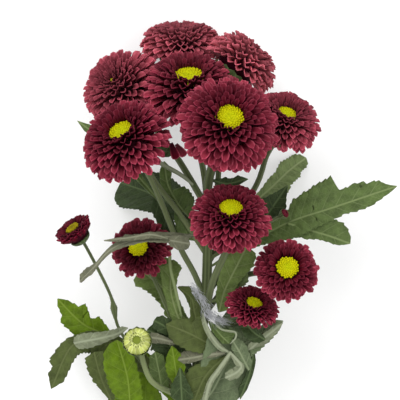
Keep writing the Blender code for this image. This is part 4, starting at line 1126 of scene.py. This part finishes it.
LAPS = {
    "stem_lap": lap(
        ((12.1, -76.8, 50), (3.5, -72.1, 51), (-6.1, -67.1, 51), (-17.2, -62.9, 46)),
        ((0.18, 3.4), (0.35, 6.2), (0.54, 8.2), (0.73, 8.1), (0.88, 5.7)),
        ((0.14, 2.3), (0.32, 4.7), (0.47, 7.9), (0.58, 10.9), (0.67, 9.9), (0.76, 6.7), (0.87, 4.7)),
        "olive", (0, 0.2, 1)),
    "stem_band": lap(
        ((13.1, -77.0, 53), (4.0, -78.1, 52.5), (-4.0, -79.6, 52), (-11.1, -80.9, 49)),
        ((0.21, 1.5), (0.45, 1.6), (0.69, 2.5), (0.87, 2.3)),
        ((0.19, 2), (0.47, 3.1), (0.72, 4.3), (0.92, 3.5)), "grey", (0, 0.2, 1), fold=-0.1),
    "stem_under": lap(
        ((13.1, -78.7, 50.5), (7.1, -83.8, 50.5), (1.5, -91.0, 49), (-3.0, -102.5, 45)),
        ((0.21, 2.9), (0.55, 4), (0.82, 3.4), (0.95, 2.5)),
        ((0.21, 1.8), (0.42, 5.3), (0.58, 8.4), (0.69, 9), (0.85, 6.4), (0.96, 2.7)), "olive"),
    "slot": lap(
        ((-10.1, -84.8, 50), (-9.6, -92.4, 50), (-9.1, -102.2, 48)),
        ((0.29, 2.2), (0.6, 4.4), (0.91, 6.2)), ((0.27, 2.3), (0.57, 5.1), (0.83, 5.9)), "dark"),
    "bright_back": lap(
        ((-11.7, -96.5, 44), (-12.2, -86.1, 47), (-14.2, -73.9, 47)),
        ((0.16, 1.9), (0.37, 4.3), (0.61, 4.8), (0.84, 3.3)),
        ((0.15, 3.2), (0.43, 4.4), (0.63, 5.6), (0.83, 3.8), (0.94, 1.8)),
        "bright", (-0.2, 0, 1), wave=1.5),
    "mid_back": lap(
        ((-19.4, -98.1, 38), (-20.9, -87.5, 42), (-22.9, -77.3, 43)),
        ((0.13, 2.7), (0.38, 4.5), (0.69, 4.5), (0.92, 3)),
        ((0.09, 3.9), (0.37, 4.7), (0.65, 4.7), (0.91, 3.7)), "mid"),
    "bright_front": lap(
        ((-35.7, -103.0, 40), (-37.1, -89.0, 43), (-42.2, -71.2, 43)),
        ((0.1, 6.9), (0.43, 10.2), (0.72, 10.2), (0.9, 8.1), (0.98, 3.8)),
        ((0.06, 6.9), (0.32, 6.3), (0.56, 6.2), (0.73, 5.9), (0.91, 3.8)), "bright", fold=0.35, wave=1.5),
    "left_under": lap(
        ((-45.1, -103.5, 35), (-50.5, -90.9, 39), (-54.1, -77.6, 39.5)),
        ((0.2, 1.8), (0.43, 3.6), (0.68, 5.4), (0.93, 5.3)), ((0.13, 5.1), (0.55, 5.7), (0.98, 5.4)),
        "olive", (-0.2, 0, 1)),
    "left_curl": lap(
        ((-64.3, -73.0, 39.5), (-59.0, -71.7, 43), (-50.8, -70.1, 44.5), (-42.7, -68.1, 43.5),
         (-36.7, -65.2, 41)),
        ((0.05, 2.6), (0.15, 3.6), (0.34, 3.8), (0.52, 3.1), (0.74, 2.7), (0.91, 2.1)),
        ((0, 2.1), (0.06, 4), (0.29, 4.7), (0.47, 3.9), (0.66, 2.4), (0.85, 1.2)),
        "underside", (0, -0.3, 1), fold=-0.22),
    "middle_curl": lap(
        ((-25.9, -69.5, 46), (-19.2, -70.4, 47), (-11.7, -72.8, 46)),
        ((0.09, 2.7), (0.33, 2.3), (0.61, 1.5), (0.82, 0.9)),
        ((0.14, 3.1), (0.46, 2.5), (0.74, 1.9), (0.9, 1.6)), "grey", (0, -0.2, 1), fold=-0.15),
    "pocket": lap(
        ((4.5, -60.9, 54), (9.6, -67.4, 54.5), (14.6, -72.4, 54)),
        ((0.18, 1.5), (0.39, 2.7), (0.64, 5), (0.88, 6.1), (0.98, 3.6)),
        ((0.21, 2), (0.49, 2.5), (0.82, 2.4)), "mid", (0.4, 0.2, 1), fold=0.3),
    "pocket_edge": lap(
        ((1.5, -56.8, 55), (3.5, -63.7, 57), (6.5, -69.7, 57), (10.5, -74.3, 56), (15.6, -77.0, 54)),
        ((0.11, 0.4), (0.31, 1), (0.53, 1.7), (0.75, 1.6)),
        ((0.11, 1.6), (0.31, 1.7), (0.53, 1.5), (0.77, 1.5)), "underside", (0.5, 0.3, 1), fold=-0.3),
    "pocket_rim": lap(
        ((8.0, -62.7, 57), (11.0, -64.9, 58), (14.5, -65.6, 58.5), (17.8, -66.4, 58), (17.8, -69.2, 57.5),
         (15.1, -72.3, 56)),
        ((0.19, 0.3), (0.4, 0.4), (0.79, 0.4)), ((0.21, 0.4), (0.41, 0.6), (0.81, 0.4)),
        "underside", (0, 0.3, 1)),
    "arm_curl": lap(
        ((23.7, -76.6, 51.5), (29.2, -71.7, 53), (35.2, -67.2, 53), (41.7, -62.1, 49.5)),
        ((0.14, 2.7), (0.38, 2.2), (0.63, 2.1), (0.83, 1.7)),
        ((0.1, 1.9), (0.38, 3), (0.64, 2.7), (0.84, 1.9)), "underside", (0.2, -0.3, 1), fold=-0.15),
    "arm_dark": lap(
        ((32.7, -70.3, 55), (27.1, -66.8, 56), (21.6, -60.8, 55)),
        ((0.18, 3.1), (0.46, 4.7), (0.69, 4.6), (0.92, 3.1)), ((0.22, 1.8), (0.56, 2.5), (0.86, 1.9)),
        "dark", (0.1, 0.3, 1)),
    "blue_middle": lap(
        ((24.7, -85.6, 53.5), (20.6, -77.9, 54.5), (16.1, -70.4, 54.5)),
        ((0.13, 1.1), (0.48, 2.5), (0.79, 2.8)), ((0.17, 3.2), (0.49, 4.5), (0.73, 4.8), (0.94, 3.5)),
        "dusty", (0.2, 0, 1), wave=1.5),
    "fold_curl": lap(
        ((15.1, -76.6, 55), (18.6, -80.3, 56), (20.8, -83.6, 56), (18.1, -86.9, 55), (12.6, -89.6, 53)),
        ((0.09, 0.6), (0.33, 0.7), (0.54, 1.7), (0.75, 2.7), (0.93, 2.2)),
        ((0.07, 1), (0.26, 2.2), (0.66, 2.7), (0.81, 3), (0.96, 2.5)),
        "underside", (-0.2, 0.1, 1), fold=-0.15),
    "pale_rib": lap(
        ((15.6, -76.3, 55.5), (9.6, -85.0, 54), (5.0, -92.2, 52.5), (2.5, -102.1, 49)),
        ((0.03, 0.9), (0.35, 1.5), (0.68, 1.5), (0.95, 1.1)),
        ((0.02, 0.8), (0.34, 1), (0.67, 1.4), (0.97, 1.8)), "underside", (0, 0.2, 1), fold=-0.5),
    "right_edge": lap(
        ((27.2, -76.7, 51), (25.2, -86.8, 51), (20.3, -100.8, 47)),
        ((0.2, 1.6), (0.52, 1.8), (0.81, 1.6)), ((0.23, 1.8), (0.55, 2.2), (0.83, 3)), "dark", (0.3, 0, 1)),
    "long_arm": lap(
        ((-15.9, -19.3, 68), (-24.7, -17.3, 71), (-35.6, -18.8, 71), (-47.6, -20.1, 69)),
        ((0.21, 1.6), (0.47, 2.1), (0.67, 1.5), (0.87, 1.2)),
        ((0.17, 1.3), (0.33, 1.7), (0.52, 0.6), (0.81, 0.8)), "grey", (0, 0.4, 1), wave=2.0),
    "large_lobe": lap(
        ((44.4, -11.7, 44.9), (55.1, -15.2, 45.5), (65.8, -18.3, 45.6), (76.3, -22.1, 44.6)),
        ((0.33, 4.7), (0.47, 6.2), (0.67, 8.8), (0.8, 8.4), (0.9, 6.1), (0.97, 3.2)),
        ((0.16, 5.1), (0.31, 5), (0.51, 3.3), (0.64, 3.3), (0.8, 3.2), (0.9, 2.1)),
        "mid", fold=0.05, wave=0.4),
    "petiole": lap(
        ((-24.3, 21.3, 46), (-17.2, 17.2, 47), (-9.6, 12.7, 48), (-0.5, 5.0, 50)),
        ((0.17, 0.9), (0.5, 0.9), (0.78, 1)), ((0.17, 1.1), (0.5, 1.2), (0.78, 0.8)),
        "underside", (0, 0.2, 1), fold=-0.4),
    "tall_leaf": lap(
        ((9.6, -56.7, 47), (11.9, -47.1, 47.5), (15.7, -39.0, 48), (19.7, -31.4, 48), (23.8, -23.3, 48)),
        ((0.14, 2.9), (0.3, 4.3), (0.55, 6.4), (0.83, 7)),
        ((0.05, 4.2), (0.23, 4.2), (0.46, 5.2), (0.64, 6), (0.8, 7.7), (0.96, 5.9)), "fresh", (0, 0.1, 1)),
    "wool_back": lap(
        ((11.2, -60.0, 43.5), (18.3, -62.0, 44), (25.4, -64.5, 44), (31.5, -67.6, 44)),
        ((0.08, 5.2), (0.35, 5.5), (0.63, 4.6)), ((0.2, 4.6), (0.5, 4.7), (0.8, 3.3)), "dusty"),
    "stem_wedge": lap(
        ((-12.6, -5.6, 48.5), (-8.6, -10.6, 48.5), (-5.1, -15.7, 49), (-1.5, -20.7, 49)),
        ((0.18, 1.6), (0.44, 2.5), (0.74, 2.8)), ((0.19, 3.4), (0.45, 5.8), (0.72, 5.6)), "mid"),
    "shade_left": lap(
        ((-22.8, 2.0, 46), (-18.3, -6.6, 46), (-13.7, -15.2, 46), (-11.2, -20.3, 46)),
        ((0.13, 2.6), (0.38, 2.7), (0.62, 2.3)), ((0.14, 4.4), (0.31, 5.4), (0.52, 5.4), (0.83, 4.3)),
        "dark"),
    "long_root": lap(
        ((-16.4, -19.9, 67), (-11.4, -20.8, 67.5), (-5.0, -21.9, 66)),
        ((0.16, 2.3), (0.58, 3.4), (0.89, 3.1)), ((0.27, 3), (0.67, 3.9), (0.95, 2.6)),
        "grey", (0, 0.3, 1), wave=2.0),
    "woolly_back": lap(
        ((-11.2, -44.3, 41), (-5.6, -48.9, 42), (-1.5, -54.9, 43), (1.0, -62.5, 43)),
        ((0.1, 2.3), (0.25, 4.4), (0.45, 4.1), (0.68, 3.2), (0.88, 2.2)),
        ((0.18, 0.9), (0.45, 2.6), (0.73, 3.6), (0.93, 2.6)), "olive"),
    "dark_top": lap(
        ((-13.7, -67.6, 44), (-18.8, -63.5, 44.5), (-23.4, -61.2, 44)),
        ((0.18, 3.4), (0.52, 4.4), (0.96, 3.4)), ((0.37, 4.4), (0.7, 4.2), (0.98, 2.3)), "dark"),
    "tall_blade": lap(
        ((-7.1, -69.8, 41), (-12.2, -57.1, 40), (-15.1, -44.9, 39), (-14.3, -31.7, 38)),
        ((0.07, 3.2), (0.36, 3.4), (0.65, 3.9), (0.91, 5.8)),
        ((0.23, 1.8), (0.48, 2.7), (0.68, 3.1), (0.82, 3.7), (0.94, 5.1)), "fresh"),
    "tall_rib": lap(
        ((-15.5, -23.8, 46), (-15.1, -34.0, 45.5), (-12.7, -44.2, 44), (-9.2, -60.0, 43)),
        ((0.17, 0.8), (0.52, 0.8), (0.84, 0.6)), ((0.17, 0.7), (0.51, 0.7), (0.83, 0.9)),
        "pale", (0, 0.2, 1), fold=-0.4),
}
print("laps and curls:", len(LAPS))

# %% [markdown]
# A blade starts as a flat grid. Its rows are set along the midrib, closer where the edge turns, and
# its columns reach out to the lobed edge, where small teeth point on towards the tip. Then the
# blade is raised at both sides of the midrib, swells between its veins and waves at the edge.

# %% Shaping a leaf
LEAF_WALL = 0.5
LEAF_DROOP = 0.004
COLUMNS = 20
ROW_STEP = 0.8
VEIN_STEP = 7.0
VEIN_SLANT = 0.9
TOOTH_STEP = 3.4
TOOTH_SHARE = 0.16
LONGEST_TOOTH = 0.9
TOOTHED_EDGE = 2
SWELLING = 0.45
WAVE_HEIGHT = 0.9
WAVE_STEP = 5.2


def edge_table(edge, length):
    """An edge as (distance along the midrib, distance out), always going forward."""
    table = [(0.0, 0.45)]
    for place, out, *ahead in edge:
        spot = min(place * length + sum(ahead), length - 0.6)
        table.append((max(spot, table[-1][0] + 0.3), out))
    return [*table, (table[-1][0] + max(length - table[-1][0], 0.3), 0.15)]


def leaf_of(name, leaf, nodes):
    """Makes a blade, and gives its length in mm and its number of rows."""
    draw = random.Random(f"{name} leaf")
    line = leaf.whole_midrib()
    length = line_length(line)
    tables = [edge_table(edge, length) for edge in leaf.edges]
    stops = sorted({round(place, 2) for table in tables for place, _ in table} | {
        i * ROW_STEP for i in range(int(length / ROW_STEP))})
    shape = bmesh.new()
    blade = shape.verts.layers.float_vector.new("blade")
    phases = [draw.uniform(0, 6.28) for _ in range(3)]
    rows = len(stops) - 1
    grid = bmesh.ops.create_grid(shape, x_segments=COLUMNS, y_segments=rows, size=1.0)
    for vertex in grid["verts"]:
        u, along = vertex.co.x, stops[round((vertex.co.y + 1) / 2 * rows)]
        hand = 0 if u > 0 else 1
        edge = read_table(along, tables[hand])
        tooth = (along + phases[hand]) / TOOTH_STEP % 1.0
        edge += min(TOOTH_SHARE * edge, LONGEST_TOOTH) * (tooth - 0.5) * (1 if edge > TOOTHED_EDGE else 0)
        out = abs(u) * edge
        middle, heading = along_line(line, along / length)
        side = leaf.face.cross(heading).normalized()
        face = heading.cross(side).normalized()
        vein = (along - VEIN_SLANT * out) / VEIN_STEP
        swell = math.sin(math.pi * (vein - 0.5) % math.pi) * min(1.0, out / 3) * (1 - 0.4 * abs(u))
        wave = u * u * math.sin(along / WAVE_STEP + phases[hand]) * min(1.0, edge / 6)
        rise = out * leaf.fold - out * out * LEAF_DROOP + SWELLING * swell + leaf.wave * WAVE_HEIGHT * wave
        vertex[blade] = (u * edge, along, vein)
        vertex.co = middle + side * (u * edge) + face * rise
    bmesh.ops.reverse_faces(shape, faces=shape.faces)
    faces = [LEAF_LOOKS[leaf.look], LEAF_LOOKS["underside"]]
    finish_piece(f"leaf_{name}_fine", shape, faces, nodes, LEAF_WALL)
    return round(length), rows


for leaf_name, leaf in LEAVES.items():
    print(leaf_name, "length mm and rows:", leaf_of(leaf_name, leaf, [f"leaf_{leaf_name}"]))
for leaf_name, leaf in LAPS.items():
    print(leaf_name, "length mm and rows:", leaf_of(leaf_name, leaf, []))

# %% [markdown]
# In one fork of the stem sits a tuft of white wool, as long as a fingernail. It is a bundle of
# fine tapering fibres that all run down the same way and stray a little.

# %% Wool
WOOL_PATH = ((-4.5, -42.5, 57), (0.5, -49, 58), (4.5, -56, 58.5), (8.5, -59.5, 58), (13, -60.5, 56))
WOOL_FIBRES = 260
FIBRE_RADIUS = 0.13
WOOL_GREY = (0.33, 0.34, 0.36)
WOOL_WHITE = (0.66, 0.67, 0.71)


def wool():
    draw = random.Random("wool")
    look = Finish("wool", roughness=0.8, specular=0.1, sheen=0.2)
    surface = look.done(look.mix(look.noise(None, 400.0), WOOL_GREY, WOOL_WHITE))
    line = smooth_line(WOOL_PATH)
    shape = bmesh.new()
    for _ in range(WOOL_FIBRES):
        share = draw.uniform(0, 0.85)
        point, along = along_line(line, share)
        spread = 3.2 * (1 - abs(share - 0.5))
        foot = point + Vector([draw.gauss(0, 0.5) * spread for _ in range(3)])
        out = (along + Vector([draw.gauss(0, 0.22) for _ in range(3)])).normalized()
        add_spike(shape, foot, out, draw.uniform(3.5, 8.0), FIBRE_RADIUS)
    finish_piece("wool", shape, [surface], [])


wool()
print("fibres:", WOOL_FIBRES)

# %% [markdown]
# The spray lies on a plain pale table. The light of a studio comes from all round, with one large
# soft lamp above, so that shadows are faint. The deep red of the hollows between the petals is
# painted shade in the petal finish.

# %% Table and light
WHITE = (1.0, 1.0, 1.0, 1.0)
SPRAY_MIDDLE = Vector((0, 0.07, 0.05))
floor_shape = bmesh.new()
bmesh.ops.create_grid(floor_shape, x_segments=1, y_segments=1, size=2.0)
floor_mesh = bpy.data.meshes.new("table")
floor_shape.to_mesh(floor_mesh)
floor_shape.free()
table = Finish("table", roughness=0.9, specular=0.1)
table.shader.inputs["Emission Color"].default_value = WHITE
table.shader.inputs["Emission Strength"].default_value = 0.35
floor_mesh.materials.append(table.done((0.62, 0.62, 0.62)))
add_object("table", floor_mesh)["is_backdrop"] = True

world = bpy.data.worlds.new("studio")
world.use_nodes = True
world.node_tree.nodes["Background"].inputs["Color"].default_value = WHITE
world.node_tree.nodes["Background"].inputs["Strength"].default_value = 1.0
bpy.context.scene.world = world


def lamp(name, spot, size, power):
    """A square soft lamp at a spot in metres that faces the spray's middle."""
    light = bpy.data.lights.new(name, "AREA")
    light.size = size
    light.energy = power
    thing = add_object(name, light)
    thing.location = spot
    thing.rotation_euler = (SPRAY_MIDDLE - Vector(spot)).to_track_quat("-Z", "Y").to_euler()
    thing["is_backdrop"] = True


lamp("key", (-0.5, 0.9, 1.1), 0.9, 10.0)
lamp("fill", (0.8, -0.3, 1.2), 1.0, 5.0)
bpy.context.scene.view_settings.view_transform = "Standard"
print("lamps:", len(bpy.data.lights))

# %% [markdown]
# The photo is a near view from straight above. A long lens a metre away keeps the heads from
# swelling, and the camera stands over the middle of the photo's picture.

# %% Camera
CAMERA_HEIGHT = 1.06
lens = bpy.data.cameras.new("camera")
lens.lens = 180.0
lens.sensor_width = 36.0
lens.clip_start = 0.01
camera = add_object("camera", lens)
camera.location = (-BOX_CENTRE.x * MM, -BOX_CENTRE.y * MM, CAMERA_HEIGHT)
bpy.context.scene.camera = camera
print("the camera stands", CAMERA_HEIGHT, "m above the table")

# %% [markdown]
# Last, the dressed spray is measured: the box round all its pieces is printed, in mm. Thin petals
# and leaves may stand a millimetre or two outside it, and no more.

# %% Measure and finish
fine_box = [list(corner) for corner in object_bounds()]
for axis, low, high in zip("XYZ", *fine_box):
    print(axis, "from", round(low * 1000, 1), "to", round(high * 1000, 1), "mm")
